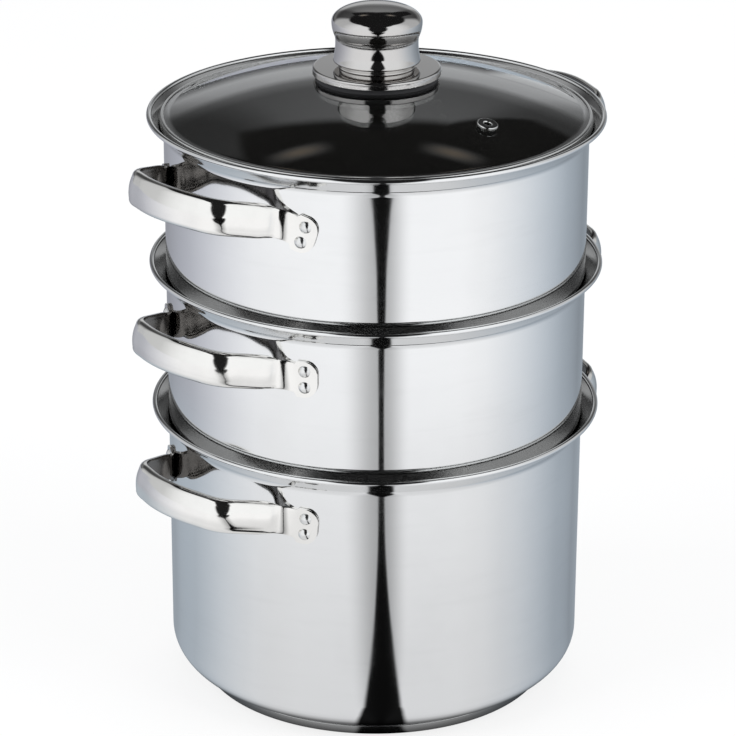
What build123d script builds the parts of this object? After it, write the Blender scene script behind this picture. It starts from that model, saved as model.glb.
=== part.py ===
from build123d import *
import os
from math import cos, degrees, radians, sin, sqrt

# A three tier steamer pot: a pot, two steamers that stack on it and a glass lid.
# Millimetres and degrees. +Z is up, the origin is the middle of the base's underside,
# and the handles lie on the X axis.

# Vessels
vessel_radius = 90.0
wall = 0.8
pot_corner_radius = 14.0
steamer_corner_radius = 12.0
pot_lip_height = 125.8
steamer_height = 79.3
seat_gap = 0.3

# Flared collar and rolled lip at the top of each vessel
flare_reach = 7.1
flare_angle = 44.0
flare_bend_radius = 4.0
lip_bead_radius = 1.1

# Layered base of the pot
base_cap_radius = 77.0
base_cap_sheet = 0.8
base_cap_side_height = 4.2
base_cap_edge_radius = 1.6
base_height = 6.0
base_core_inset = 1.0
base_recess_radius = 22.0
base_recess_depth = 0.3

# Steam holes in the steamer floors
steam_hole_radius = 2.5
steam_ring_pitch = 11.5
steam_ring_count = 5
holes_per_ring_step = 6

# Loop of a side handle: a pressed strap, crowned outside and hollow inside
strap_drop = 21.6
strap_base_angle = 24.3
strap_tilt = 12.0
strap_reach = 28.5
strap_nose = 8.5
strap_corner_half_width = 27.5
strap_corner_radius = 11.0
strap_nose_radius = 45.0
strap_width = 14.6
strap_sheet = 1.2
strap_crown = 1.6
strap_edge_depth = 1.9
strap_edge_radius = 1.5
strap_run_in = 3.0
strap_waist_length = 12.0

# Tabs at the loop's ends, and their rivets
tab_sheet = 1.4
tab_length = 14.0
tab_width = 15.6
tab_root_width = 12.2
tab_shoulder = 4.5
tab_end_radius = 6.0
tab_shoulder_radius = 4.0
tab_drop = 1.2
rivet_from_bend = 8.4
rivet_spacing = 7.0
rivet_head_radius = 2.6
rivet_head_height = 1.3
rivet_shank_radius = 1.5
rivet_tail_radius = 2.4
rivet_tail_height = 0.7
rivet_fit = 0.05
pot_tab_twist = 5.0
lower_tab_twist = 0.0
upper_tab_twist = 18.0

# Lid glass, its rim ring and its steam vent
glass_thickness = 3.5
lid_overlap = 1.6
ring_sheet = 0.4
ring_lip = 1.7
ring_bulge = 0.6
glass_fit = 0.05
glass_rim_width = 3.0
glass_bore_radius = 3.2
dome_rise = 16.4
vent_edge_distance = 25.15
vent_azimuth = -86.0
vent_bore_radius = 1.6
vent_tube_radius = 2.6
vent_flange_radius = 4.4
vent_flange_sheet = 0.7
vent_edge_radius = 0.3
vent_fit = 0.1

# Knob flange and gasket
flange_radius = 27.1
flange_height = 3.0
flange_sheet = 1.0
flange_edge_radius = 0.9
flange_lift = 0.8
neck_radius = 15.9
neck_height = 2.3
neck_edge_radius = 0.6
gasket_fit = 0.2

# Knob
knob_foot_radius = 18.4
knob_foot_edge = 0.8
knob_waist_radius = 17.5
knob_waist_height = 6.6
knob_shoulder_radius = 17.6
knob_shoulder_height = 10.6
knob_cheek_radius = 18.7
knob_cheek_height = 13.6
knob_bulge_radius = 19.1
knob_bulge_height = 16.8
knob_brow_radius = 16.2
knob_brow_height = 21.2
knob_height = 24.5
knob_sheet = 1.0
core_radius = 8.0
core_height = 13.0

# Screw and washers under the lid
screw_radius = 2.0
screw_fit = 0.1
screw_bite = 9.0
screw_head_radius = 4.0
screw_head_height = 2.4
screw_slot_width = 1.0
screw_slot_depth = 1.0
under_gasket_radius = 9.0
under_gasket_thickness = 1.0
under_washer_radius = 8.0
under_washer_thickness = 1.0

# One overrun serves every cut.
overrun = 5.0

# Collar shape that follows from the values above
bead_place_radius = vessel_radius + flare_reach - lip_bead_radius
bend_middle_radius = flare_bend_radius + wall / 2
flare_start_radius = vessel_radius + flare_bend_radius - bend_middle_radius * cos(radians(flare_angle))
flare_run = (bead_place_radius - flare_start_radius) / sin(radians(flare_angle))
collar_height = bend_middle_radius * sin(radians(flare_angle)) + flare_run * cos(radians(flare_angle))

# A steamer's rounded corner rests on the bend at the foot of the collar below it.
corner_and_bend = steamer_corner_radius + flare_bend_radius
nest_offset = sqrt((corner_and_bend + wall + seat_gap) ** 2 - corner_and_bend**2)
nest_depth = collar_height + steamer_corner_radius - nest_offset
lower_floor_height = pot_lip_height - nest_depth
lower_lip_height = lower_floor_height + steamer_height
upper_floor_height = lower_lip_height - nest_depth
upper_lip_height = upper_floor_height + steamer_height

# The lid's ring rests on the slope of the top collar.
ring_radius = vessel_radius + lid_overlap
ring_height = glass_thickness + 2 * ring_sheet
ring_corner_radius = ring_radius - ring_bulge
ring_corner_reach = ring_corner_radius - bead_place_radius
ring_slope_gap = wall / 2 + seat_gap
ring_corner_drop = (ring_slope_gap + ring_corner_reach * cos(radians(flare_angle))) / sin(
    radians(flare_angle)
)
ring_floor_height = upper_lip_height + ring_corner_drop

# Glass dome
glass_radius = ring_radius - ring_sheet - glass_fit
glass_floor_height = ring_floor_height + ring_sheet
glass_rim_height = glass_floor_height + glass_thickness
glass_top_height = glass_rim_height + dome_rise
glass_under_height = glass_top_height - glass_thickness
dome_edge_radius = glass_radius - glass_rim_width
vent_place_radius = dome_edge_radius - vent_edge_distance
dome_outer_radius = (dome_edge_radius**2 + dome_rise**2) / (2 * dome_rise)
dome_inner_radius = dome_outer_radius - glass_thickness
dome_centre_height = glass_top_height - dome_outer_radius

# Knob stack
flange_floor_height = glass_top_height + flange_lift
flange_top_height = flange_floor_height + flange_height
knob_floor_height = flange_top_height + neck_height
screw_clear_radius = screw_radius + screw_fit


def direction(azimuth):
    """Unit vector that points outwards at an azimuth measured from +X."""
    return Vector(cos(radians(azimuth)), sin(radians(azimuth)), 0)


def dome_point(sphere_radius, place_radius):
    """Point of the dome's section at a distance from the axis."""
    return (place_radius, dome_centre_height + sqrt(sphere_radius**2 - place_radius**2))


def rivet_planes(azimuth, lip_height, twist):
    """Planes on the tabs' outer faces, one for each rivet of a handle, normals outwards."""
    planes = []
    outer_radius = vessel_radius + tab_sheet
    middle_height = lip_height - strap_drop - tab_drop
    for side in (-1, 1):
        for level in (-1, 1):
            lift = level * rivet_spacing / 2
            along = rivet_from_bend * cos(radians(twist)) + lift * sin(radians(twist))
            rise = lift * cos(radians(twist)) - rivet_from_bend * sin(radians(twist))
            outwards = direction(azimuth + side * (strap_base_angle + degrees(along / outer_radius)))
            middle = outwards * outer_radius + Vector(0, 0, middle_height + rise)
            planes.append(Plane(origin=middle, x_dir=(0, 0, 1), z_dir=outwards))
    return planes


def vessel_shell(floor_height, lip_height, corner_radius, twist, perforated):
    """A pressed vessel: floor, rounded corner, straight wall, flared collar and rolled lip."""
    with BuildPart() as shell:
        with BuildSketch(Plane.XZ):
            with BuildLine():
                floor = Line((0, floor_height), (vessel_radius - corner_radius, floor_height))
                corner = JernArc(floor @ 1, floor % 1, corner_radius, 90)
                side = Line(corner @ 1, (vessel_radius, lip_height - collar_height))
                bend = JernArc(side @ 1, side % 1, flare_bend_radius, -flare_angle)
                flare = Line(bend @ 1, bend @ 1 + (bend % 1) * flare_run)
                inwards = Vector(-cos(radians(flare_angle)), sin(radians(flare_angle)))
                hem = Line(flare @ 1, flare @ 1 + inwards * wall)
                flare_back = Line(hem @ 1, hem @ 1 - (bend % 1) * flare_run)
                bend_back = JernArc(flare_back @ 1, flare_back % 1, flare_bend_radius + wall, flare_angle)
                side_back = Line(bend_back @ 1, (vessel_radius - wall, floor_height + corner_radius))
                corner_back = JernArc(side_back @ 1, side_back % 1, corner_radius - wall, -90)
                floor_back = Line(corner_back @ 1, (0, floor_height + wall))
                Line(floor_back @ 1, floor @ 0)
            make_face()
            with Locations((bead_place_radius, lip_height)):
                Circle(lip_bead_radius)
        revolve(axis=Axis.Z)
        for azimuth in handle_azimuths.values():
            for plane in rivet_planes(azimuth, lip_height, twist):
                with BuildSketch(plane):
                    Circle(rivet_shank_radius + rivet_fit)
                extrude(amount=-(tab_sheet + wall + overrun), mode=Mode.SUBTRACT)
        if perforated:
            with BuildSketch(Plane.XY.offset(floor_height + wall)):
                Circle(steam_hole_radius)
                for ring in range(1, steam_ring_count + 1):
                    with PolarLocations(ring * steam_ring_pitch, ring * holes_per_ring_step):
                        Circle(steam_hole_radius)
            extrude(amount=-2 * wall, mode=Mode.SUBTRACT)
    return shell.part


def handle_tabs(azimuth, root_height, twist):
    """The two riveted ends of a handle, curved to the wall that they lie on."""
    with BuildPart() as tabs:
        for side in (-1, 1):
            tab_azimuth = azimuth + side * (strap_base_angle + degrees(tab_length / 2 / vessel_radius))
            tab_outwards = direction(tab_azimuth)
            tab_along = Vector(-tab_outwards.Y, tab_outwards.X, 0) * side
            bend = tab_outwards * vessel_radius - tab_along * (tab_length / 2)
            level_plane = Plane(
                origin=bend + Vector(0, 0, root_height - tab_drop), x_dir=tab_along, z_dir=tab_outwards * side
            )
            with BuildSketch(level_plane.rotated((0, 0, -twist))):
                with BuildLine():
                    FilletPolyline(
                        (-tab_shoulder / 2, -tab_root_width / 2),
                        (tab_shoulder, -tab_width / 2),
                        (tab_length, -tab_width / 2),
                        (tab_length, tab_width / 2),
                        (tab_shoulder, tab_width / 2),
                        (-tab_shoulder / 2, tab_root_width / 2),
                        radius=(0, tab_shoulder_radius, tab_end_radius, tab_end_radius, tab_shoulder_radius, 0),
                        close=True,
                    )
                make_face()
            extrude(amount=overrun, both=True)
        with BuildSketch(Plane.XY.offset(root_height - tab_length - tab_width)):
            Circle(vessel_radius + tab_sheet)
            Circle(vessel_radius, mode=Mode.SUBTRACT)
        extrude(amount=2 * (tab_length + tab_width), mode=Mode.INTERSECT)
    return tabs.part


def handle_loop(azimuth, root_height):
    """The loop between the tabs: a crowned strap with turned in edges, tilted upwards."""
    outwards = direction(azimuth)
    sideways = Vector(-outwards.Y, outwards.X, 0)
    tilted_out = outwards * cos(radians(strap_tilt)) + Vector(0, 0, sin(radians(strap_tilt)))
    tilted_up = Vector(0, 0, cos(radians(strap_tilt))) - outwards * sin(radians(strap_tilt))
    root_place = (vessel_radius + tab_sheet) * cos(radians(strap_base_angle))
    root_half_width = (vessel_radius + tab_sheet) * sin(radians(strap_base_angle))
    root = outwards * root_place + Vector(0, 0, root_height)
    lean = (root_half_width - strap_corner_half_width) / strap_reach
    start_half_width = root_half_width + lean * strap_run_in
    half_width = strap_width / 2
    inner_half_width = half_width - strap_sheet
    inner_edge = strap_crown * (1 - (inner_half_width / half_width) ** 2) - strap_sheet
    with BuildPart() as loop:
        with BuildLine(Plane(origin=root, x_dir=tilted_out, z_dir=tilted_up)) as route:
            FilletPolyline(
                (-strap_run_in, -start_half_width),
                (strap_reach, -strap_corner_half_width),
                (strap_reach + strap_nose, 0),
                (strap_reach, strap_corner_half_width),
                (-strap_run_in, start_half_width),
                radius=(strap_corner_radius, strap_nose_radius, strap_corner_radius),
            )
        with BuildSketch(Plane(origin=route.line @ 0, x_dir=tilted_up, z_dir=route.line % 0)) as section:
            with BuildLine():
                ThreePointArc((-half_width, 0), (0, strap_crown), (half_width, 0))
                Polyline(
                    (half_width, 0),
                    (half_width, -strap_edge_depth),
                    (inner_half_width, -strap_edge_depth),
                    (inner_half_width, inner_edge),
                )
                ThreePointArc(
                    (inner_half_width, inner_edge), (0, strap_crown - strap_sheet), (-inner_half_width, inner_edge)
                )
                Polyline(
                    (-inner_half_width, inner_edge),
                    (-inner_half_width, -strap_edge_depth),
                    (-half_width, -strap_edge_depth),
                    (-half_width, 0),
                )
            make_face()
            fillet(section.vertices().group_by(Axis.Y)[-1], radius=strap_edge_radius)
        sweep()
        with BuildSketch(Plane(origin=root, x_dir=tilted_out, z_dir=sideways * -1)):
            for level in (-1, 1):
                with BuildLine():
                    Polyline(
                        (-2 * strap_run_in, level * tab_root_width / 2),
                        (0, level * tab_root_width / 2),
                        (strap_waist_length, level * half_width),
                        (strap_waist_length, level * strap_width),
                        (-2 * strap_run_in, level * strap_width),
                        close=True,
                    )
                make_face()
        extrude(amount=2 * root_half_width, both=True, mode=Mode.SUBTRACT)
    return loop.part


def strap_handle(azimuth, lip_height, twist):
    """A strap handle: its loop and tabs as one pressing, trimmed to the wall and drilled."""
    root_height = lip_height - strap_drop
    tabs = handle_tabs(azimuth, root_height, twist)
    loop = handle_loop(azimuth, root_height)
    with BuildPart() as handle:
        add(tabs)
        add(loop)
        with BuildSketch(Plane.XY.offset(root_height - strap_reach)):
            Circle(vessel_radius)
        extrude(amount=2 * strap_reach, mode=Mode.SUBTRACT)
        for plane in rivet_planes(azimuth, lip_height, twist):
            with BuildSketch(plane):
                Circle(rivet_shank_radius + rivet_fit)
            extrude(amount=overrun, both=True, mode=Mode.SUBTRACT)
    return handle.part


def rivet_group(azimuth, lip_height, twist):
    """The four rivets of one handle: domed head outside, shank, and flattened tail inside."""
    tail_seat = vessel_radius + tab_sheet - sqrt((vessel_radius - wall) ** 2 - rivet_tail_radius**2)
    tail_end = tail_seat + rivet_tail_height
    with BuildPart() as rivets:
        for plane in rivet_planes(azimuth, lip_height, twist):
            with BuildSketch(Plane(origin=plane.origin, x_dir=plane.x_dir, z_dir=plane.y_dir * -1)):
                with BuildLine():
                    dome = ThreePointArc(
                        (0, rivet_head_height),
                        (rivet_head_radius * sin(radians(45)), rivet_head_height * cos(radians(45))),
                        (rivet_head_radius, 0),
                    )
                    Polyline(
                        dome @ 1,
                        (rivet_shank_radius, 0),
                        (rivet_shank_radius, -tail_seat),
                        (rivet_tail_radius, -tail_seat),
                        (rivet_tail_radius, -tail_end),
                        (0, -tail_end),
                        dome @ 0,
                    )
                make_face()
            revolve(axis=Axis(plane.origin, plane.z_dir))
    return rivets.part


def turned_part(points, radius):
    """A ring or disc turned about the Z axis from a closed outline with rounded corners."""
    with BuildPart() as turned:
        with BuildSketch(Plane.XZ):
            with BuildLine():
                FilletPolyline(*points, radius=radius, close=True)
            make_face()
        revolve(axis=Axis.Z)
    return turned.part


def knob_solid(inset):
    """The knob's outer form, or the hollow in it at a depth below its surface."""
    foot = knob_floor_height + inset
    with BuildPart() as form:
        with BuildSketch(Plane.XZ):
            with BuildLine():
                start = Line((0, foot), (knob_foot_radius - inset - knob_foot_edge, foot))
                edge = RadiusArc(
                    start @ 1, (knob_foot_radius - inset, foot + knob_foot_edge), -knob_foot_edge
                )
                waist = ThreePointArc(
                    edge @ 1,
                    (knob_waist_radius - inset, knob_floor_height + knob_waist_height),
                    (knob_shoulder_radius - inset, knob_floor_height + knob_shoulder_height),
                )
                cheek = ThreePointArc(
                    waist @ 1,
                    (knob_cheek_radius - inset, knob_floor_height + knob_cheek_height),
                    (knob_bulge_radius - inset, knob_floor_height + knob_bulge_height),
                )
                crown = Spline(
                    cheek @ 1,
                    (knob_brow_radius - inset, knob_floor_height + knob_brow_height - inset),
                    (0, knob_floor_height + knob_height - inset),
                    tangents=((0, 1), (-1, 0)),
                )
                Line(crown @ 1, start @ 0)
            make_face()
        revolve(axis=Axis.Z)
    return form.part


def write(piece, name):
    """Labels a finished piece and writes it under its own name."""
    piece.label = name
    export_step(piece, f"parts/{name}.step")


handle_azimuths = {"left": 180.0, "right": 0.0}
os.makedirs("parts", exist_ok=True)

# Vessels, handles and rivets
vessels = {
    "pot": ("shell", base_height, pot_lip_height, pot_corner_radius, pot_tab_twist, False),
    "lower_steamer": (
        "basket", lower_floor_height, lower_lip_height, steamer_corner_radius, lower_tab_twist, True
    ),
    "upper_steamer": (
        "basket", upper_floor_height, upper_lip_height, steamer_corner_radius, upper_tab_twist, True
    ),
}
for vessel, (kind, floor_height, lip_height, corner_radius, twist, perforated) in vessels.items():
    write(vessel_shell(floor_height, lip_height, corner_radius, twist, perforated), f"{vessel}_{kind}")
    for side, azimuth in handle_azimuths.items():
        write(strap_handle(azimuth, lip_height, twist), f"{vessel}_handle_{side}")
        write(rivet_group(azimuth, lip_height, twist), f"{vessel}_rivets_{side}")

# Aluminium core of the base
core_place_radius = base_cap_radius - base_core_inset
with BuildPart() as base_core:
    with BuildSketch(Plane.XZ):
        with BuildLine():
            FilletPolyline(
                (0, base_cap_sheet),
                (core_place_radius, base_cap_sheet),
                (core_place_radius, base_height),
                (0, base_height),
                radius=(0, base_cap_edge_radius, 0, 0),
                close=True,
            )
        make_face()
    revolve(axis=Axis.Z)
write(base_core.part, "base_core")

# Steel cap of the base, with a shallow recess in the middle of its underside
cap_inner_radius = base_cap_radius - base_cap_sheet
with BuildPart() as base_cap:
    with BuildSketch(Plane.XZ):
        with BuildLine():
            FilletPolyline(
                (0, 0),
                (base_cap_radius, 0),
                (base_cap_radius, base_cap_side_height),
                (cap_inner_radius, base_cap_side_height),
                (cap_inner_radius, base_cap_sheet),
                (0, base_cap_sheet),
                radius=(0, base_cap_edge_radius, 0, 0, base_cap_edge_radius - base_cap_sheet, 0),
                close=True,
            )
        make_face()
    revolve(axis=Axis.Z)
    with BuildSketch(Plane.XY):
        Circle(base_recess_radius)
    extrude(amount=base_recess_depth, mode=Mode.SUBTRACT)
write(base_cap.part, "base_cap")

# Lid glass: a domed disc with a flat rim, a bore for the knob's screw and one for the vent
vent_outwards = direction(vent_azimuth)
vent_slope_share = vent_place_radius / dome_outer_radius
vent_normal = vent_outwards * vent_slope_share + Vector(0, 0, sqrt(1 - vent_slope_share**2))
vent_middle = Vector(0, 0, dome_centre_height) + vent_normal * dome_outer_radius
vent_plane = Plane(origin=vent_middle, z_dir=vent_normal)
under_edge_height = glass_floor_height - dome_centre_height
under_edge_radius = sqrt(dome_inner_radius**2 - under_edge_height**2)
with BuildPart() as lid_glass:
    with BuildSketch(Plane.XZ):
        with BuildLine():
            top = ThreePointArc(
                (0, glass_top_height),
                dome_point(dome_outer_radius, dome_edge_radius / 2),
                (dome_edge_radius, glass_rim_height),
            )
            rim = Line(top @ 1, (glass_radius - ring_bulge, glass_rim_height))
            edge = ThreePointArc(
                rim @ 1,
                (glass_radius, (glass_rim_height + glass_floor_height) / 2),
                (glass_radius - ring_bulge, glass_floor_height),
            )
            floor = Line(edge @ 1, (under_edge_radius, glass_floor_height))
            under = ThreePointArc(
                floor @ 1, dome_point(dome_inner_radius, under_edge_radius / 2), (0, glass_under_height)
            )
            Line(under @ 1, top @ 0)
        make_face()
    revolve(axis=Axis.Z)
    with BuildSketch(Plane.XY.offset(glass_floor_height)):
        Circle(glass_bore_radius)
    extrude(amount=dome_rise + glass_thickness + overrun, mode=Mode.SUBTRACT)
    with BuildSketch(vent_plane):
        Circle(vent_tube_radius + vent_fit)
    extrude(amount=glass_thickness + overrun, both=True, mode=Mode.SUBTRACT)
write(lid_glass.part, "lid_glass")

# Steel ring crimped round the edge of the glass
ring_inner_radius = ring_radius - ring_lip
ring_top_height = ring_floor_height + ring_height
ring_middle_height = (ring_floor_height + ring_top_height) / 2
with BuildPart() as lid_rim_ring:
    with BuildSketch(Plane.XZ):
        with BuildLine():
            lower_lip = Polyline(
                (ring_corner_radius - ring_sheet, glass_floor_height),
                (ring_inner_radius, glass_floor_height),
                (ring_inner_radius, ring_floor_height),
                (ring_corner_radius, ring_floor_height),
            )
            outside = ThreePointArc(
                lower_lip @ 1, (ring_radius, ring_middle_height), (ring_corner_radius, ring_top_height)
            )
            upper_lip = Polyline(
                outside @ 1,
                (ring_inner_radius, ring_top_height),
                (ring_inner_radius, glass_rim_height),
                (ring_corner_radius - ring_sheet, glass_rim_height),
            )
            ThreePointArc(
                upper_lip @ 1, (ring_radius - ring_sheet, ring_middle_height), lower_lip @ 0
            )
        make_face()
    revolve(axis=Axis.Z)
write(lid_rim_ring.part, "lid_rim_ring")

# Steam vent: a tube through the glass with a flange turned out at each end
vent_under_seat = dome_outer_radius - sqrt(dome_inner_radius**2 - vent_flange_radius**2)
vent_tail = vent_under_seat + vent_flange_sheet
with BuildPart() as lid_vent_eyelet:
    with BuildSketch(Plane(origin=vent_middle, x_dir=vent_plane.x_dir, z_dir=vent_plane.y_dir * -1)):
        with BuildLine():
            FilletPolyline(
                (vent_bore_radius, vent_flange_sheet),
                (vent_flange_radius, vent_flange_sheet),
                (vent_flange_radius, 0),
                (vent_tube_radius, 0),
                (vent_tube_radius, -vent_under_seat),
                (vent_flange_radius, -vent_under_seat),
                (vent_flange_radius, -vent_tail),
                (vent_bore_radius, -vent_tail),
                radius=(vent_edge_radius, vent_edge_radius, 0, 0, 0, 0, vent_edge_radius, vent_edge_radius),
                close=True,
            )
        make_face()
    revolve(axis=Axis(vent_middle, vent_normal))
write(lid_vent_eyelet.part, "lid_vent_eyelet")

# Silicone gasket between the glass and the flange
gasket_radius = flange_radius - flange_sheet - gasket_fit
gasket_top_height = flange_top_height - flange_sheet
with BuildPart() as knob_gasket:
    with BuildSketch(Plane.XZ):
        with BuildLine():
            seat = ThreePointArc(
                dome_point(dome_outer_radius, screw_clear_radius),
                dome_point(dome_outer_radius, gasket_radius / 2),
                dome_point(dome_outer_radius, gasket_radius),
            )
            Polyline(
                seat @ 1,
                (gasket_radius, gasket_top_height),
                (screw_clear_radius, gasket_top_height),
                seat @ 0,
            )
        make_face()
    revolve(axis=Axis.Z)
write(knob_gasket.part, "knob_gasket")

# Pressed flange with a turned down rim and a raised neck
knob_flange = turned_part(
    (
        (screw_clear_radius, knob_floor_height),
        (neck_radius, knob_floor_height),
        (neck_radius, flange_top_height),
        (flange_radius, flange_top_height),
        (flange_radius, flange_floor_height),
        (flange_radius - flange_sheet, flange_floor_height),
        (flange_radius - flange_sheet, gasket_top_height),
        (neck_radius - flange_sheet, gasket_top_height),
        (neck_radius - flange_sheet, knob_floor_height - flange_sheet),
        (screw_clear_radius, knob_floor_height - flange_sheet),
    ),
    (0, neck_edge_radius, neck_edge_radius, flange_edge_radius, 0, 0, 0, 0, 0, 0),
)
write(knob_flange, "knob_flange")

# Hollow knob, with a hole for the screw in its floor
knob_hollow = knob_solid(knob_sheet)
with BuildPart() as knob_shell:
    add(knob_solid(0))
    add(knob_hollow, mode=Mode.SUBTRACT)
    with BuildSketch(Plane.XY.offset(knob_floor_height)):
        Circle(screw_clear_radius)
    extrude(amount=knob_sheet, mode=Mode.SUBTRACT)
write(knob_shell.part, "knob_shell")

# Threaded core inside the knob
core_floor_height = knob_floor_height + knob_sheet
knob_core = turned_part(
    (
        (screw_clear_radius, core_floor_height),
        (core_radius, core_floor_height),
        (core_radius, core_floor_height + core_height),
        (screw_clear_radius, core_floor_height + core_height),
    ),
    0,
)
write(knob_core, "knob_core")

# Gasket, washer and screw under the glass
under_sag = dome_inner_radius - sqrt(dome_inner_radius**2 - under_gasket_radius**2)
under_gasket_floor = glass_under_height - under_sag - under_gasket_thickness
with BuildPart() as under_gasket:
    with BuildSketch(Plane.XZ):
        with BuildLine():
            roof = ThreePointArc(
                dome_point(dome_inner_radius, screw_clear_radius),
                dome_point(dome_inner_radius, under_gasket_radius / 2),
                dome_point(dome_inner_radius, under_gasket_radius),
            )
            Polyline(
                roof @ 1,
                (under_gasket_radius, under_gasket_floor),
                (screw_clear_radius, under_gasket_floor),
                roof @ 0,
            )
        make_face()
    revolve(axis=Axis.Z)
write(under_gasket.part, "under_gasket")

under_washer_floor = under_gasket_floor - under_washer_thickness
under_washer = turned_part(
    (
        (screw_clear_radius, under_washer_floor),
        (under_washer_radius, under_washer_floor),
        (under_washer_radius, under_gasket_floor),
        (screw_clear_radius, under_gasket_floor),
    ),
    0,
)
write(under_washer, "under_washer")

screw_head_floor = under_washer_floor - screw_head_height
with BuildPart() as knob_screw:
    with BuildSketch(Plane.XZ):
        with BuildLine():
            FilletPolyline(
                (0, screw_head_floor),
                (screw_head_radius, screw_head_floor),
                (screw_head_radius, under_washer_floor),
                (screw_radius, under_washer_floor),
                (screw_radius, core_floor_height + screw_bite),
                (0, core_floor_height + screw_bite),
                radius=(0, screw_head_height / 2, 0, 0, 0, 0),
                close=True,
            )
        make_face()
    revolve(axis=Axis.Z)
    with BuildSketch(Plane.XY.offset(screw_head_floor)):
        Rectangle(2 * screw_head_radius, screw_slot_width)
        Rectangle(screw_slot_width, 2 * screw_head_radius)
    extrude(amount=screw_slot_depth, mode=Mode.SUBTRACT)
write(knob_screw.part, "knob_screw")
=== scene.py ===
"""Looks of a stacking steamer pot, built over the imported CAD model.

Sizes are in millimetres and are turned into metres where a mesh is made. The frame is the
CAD model's: +Z is up, the origin is under the middle of the base, the handles lie on X.
"""

import logging
from dataclasses import dataclass, field
from enum import Enum
from math import asin, atan2, cos, degrees, pi, radians, sin, sqrt, tan
from typing import Any, Sequence, Union

import bpy
from mathutils import Matrix, Vector


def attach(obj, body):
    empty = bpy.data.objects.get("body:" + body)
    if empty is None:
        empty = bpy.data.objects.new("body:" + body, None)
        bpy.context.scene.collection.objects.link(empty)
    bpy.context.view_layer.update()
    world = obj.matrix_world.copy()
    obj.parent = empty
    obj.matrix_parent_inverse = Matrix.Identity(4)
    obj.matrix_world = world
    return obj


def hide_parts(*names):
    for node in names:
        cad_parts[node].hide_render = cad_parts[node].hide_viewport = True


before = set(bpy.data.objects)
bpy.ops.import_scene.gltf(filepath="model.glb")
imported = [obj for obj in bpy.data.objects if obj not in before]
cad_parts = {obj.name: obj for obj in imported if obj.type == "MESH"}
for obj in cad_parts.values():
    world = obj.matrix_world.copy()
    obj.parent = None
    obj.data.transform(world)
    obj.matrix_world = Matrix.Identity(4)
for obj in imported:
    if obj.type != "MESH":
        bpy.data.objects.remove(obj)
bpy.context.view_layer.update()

log = logging.getLogger("steamer_pot")
MM = 0.001
SEGMENTS = 224
ARC_DEGREES = 5
PLAY = 0.02
WHITE = (1.0, 1.0, 1.0)
Point = tuple[float, float]
Corner = tuple[float, float, float]
Colour = tuple[float, float, float]
Table = tuple[tuple[float, float], ...]
Station = tuple[Vector, Vector, Vector, float, float]


class Side(Enum):
    """Which side of the pot a handle is on, with the azimuth that it points to."""

    LEFT = 180.0
    RIGHT = 0.0


class Tier(Enum):
    """The three vessels, named as the CAD bodies are."""

    POT = "pot"
    LOWER = "lower_steamer"
    UPPER = "upper_steamer"


# Shader maths


class Signal:
    """An output socket of a material, with arithmetic that adds Math nodes."""

    def __init__(self, recipe: "Recipe", socket: bpy.types.NodeSocket) -> None:
        """Keeps the recipe that the socket belongs to.

        Args:
            recipe: The material in the making.
            socket: The output socket that this signal stands for.
        """
        self.recipe = recipe
        self.socket = socket

    def _math(self, operation: str, *values: Any) -> "Signal":
        """Adds one Math node.

        Args:
            operation: The node's operation.
            *values: Its inputs, as numbers or signals.

        Returns:
            The node's result.
        """
        inputs = {index: value for index, value in enumerate(values)}
        return self.recipe.node("ShaderNodeMath", {"operation": operation}, inputs)

    def __add__(self, other: Any) -> "Signal":
        """Sum with a number or signal."""
        return self._math("ADD", self, other)

    __radd__ = __add__

    def __sub__(self, other: Any) -> "Signal":
        """This less a number or signal."""
        return self._math("SUBTRACT", self, other)

    def __rsub__(self, other: Any) -> "Signal":
        """A number less this."""
        return self._math("SUBTRACT", other, self)

    def __mul__(self, other: Any) -> "Signal":
        """Product with a number or signal."""
        return self._math("MULTIPLY", self, other)

    __rmul__ = __mul__

    def __truediv__(self, other: Any) -> "Signal":
        """Quotient by a number or signal."""
        return self._math("DIVIDE", self, other)

    def __rtruediv__(self, other: Any) -> "Signal":
        """A number divided by this."""
        return self._math("DIVIDE", other, self)

    def __pow__(self, other: Any) -> "Signal":
        """Power of a number or signal."""
        return self._math("POWER", self, other)

    def __abs__(self) -> "Signal":
        """Size without its sign."""
        return self._math("ABSOLUTE", self)

    def at_most(self, other: Any) -> "Signal":
        """The smaller of this and another."""
        return self._math("MINIMUM", self, other)

    def at_least(self, other: Any) -> "Signal":
        """The larger of this and another."""
        return self._math("MAXIMUM", self, other)

    def angle_from(self, other: Any) -> "Signal":
        """Angle whose tangent is this over another, in radians."""
        return self._math("ARCTAN2", self, other)

    def spread(self, low: float, high: float, to_low: float = 0.0, to_high: float = 1.0) -> "Signal":
        """Maps a range smoothly on to another and holds its ends.

        Args:
            low: Start of this signal's range.
            high: End of this signal's range.
            to_low: Result at low.
            to_high: Result at high.

        Returns:
            The mapped signal.
        """
        return self.recipe.node(
            "ShaderNodeMapRange",
            {"interpolation_type": "SMOOTHSTEP", "clamp": True},
            {"Value": self, "From Min": low, "From Max": high, "To Min": to_low, "To Max": to_high},
        )


Value = Union[float, Sequence[float], Signal]


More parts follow.
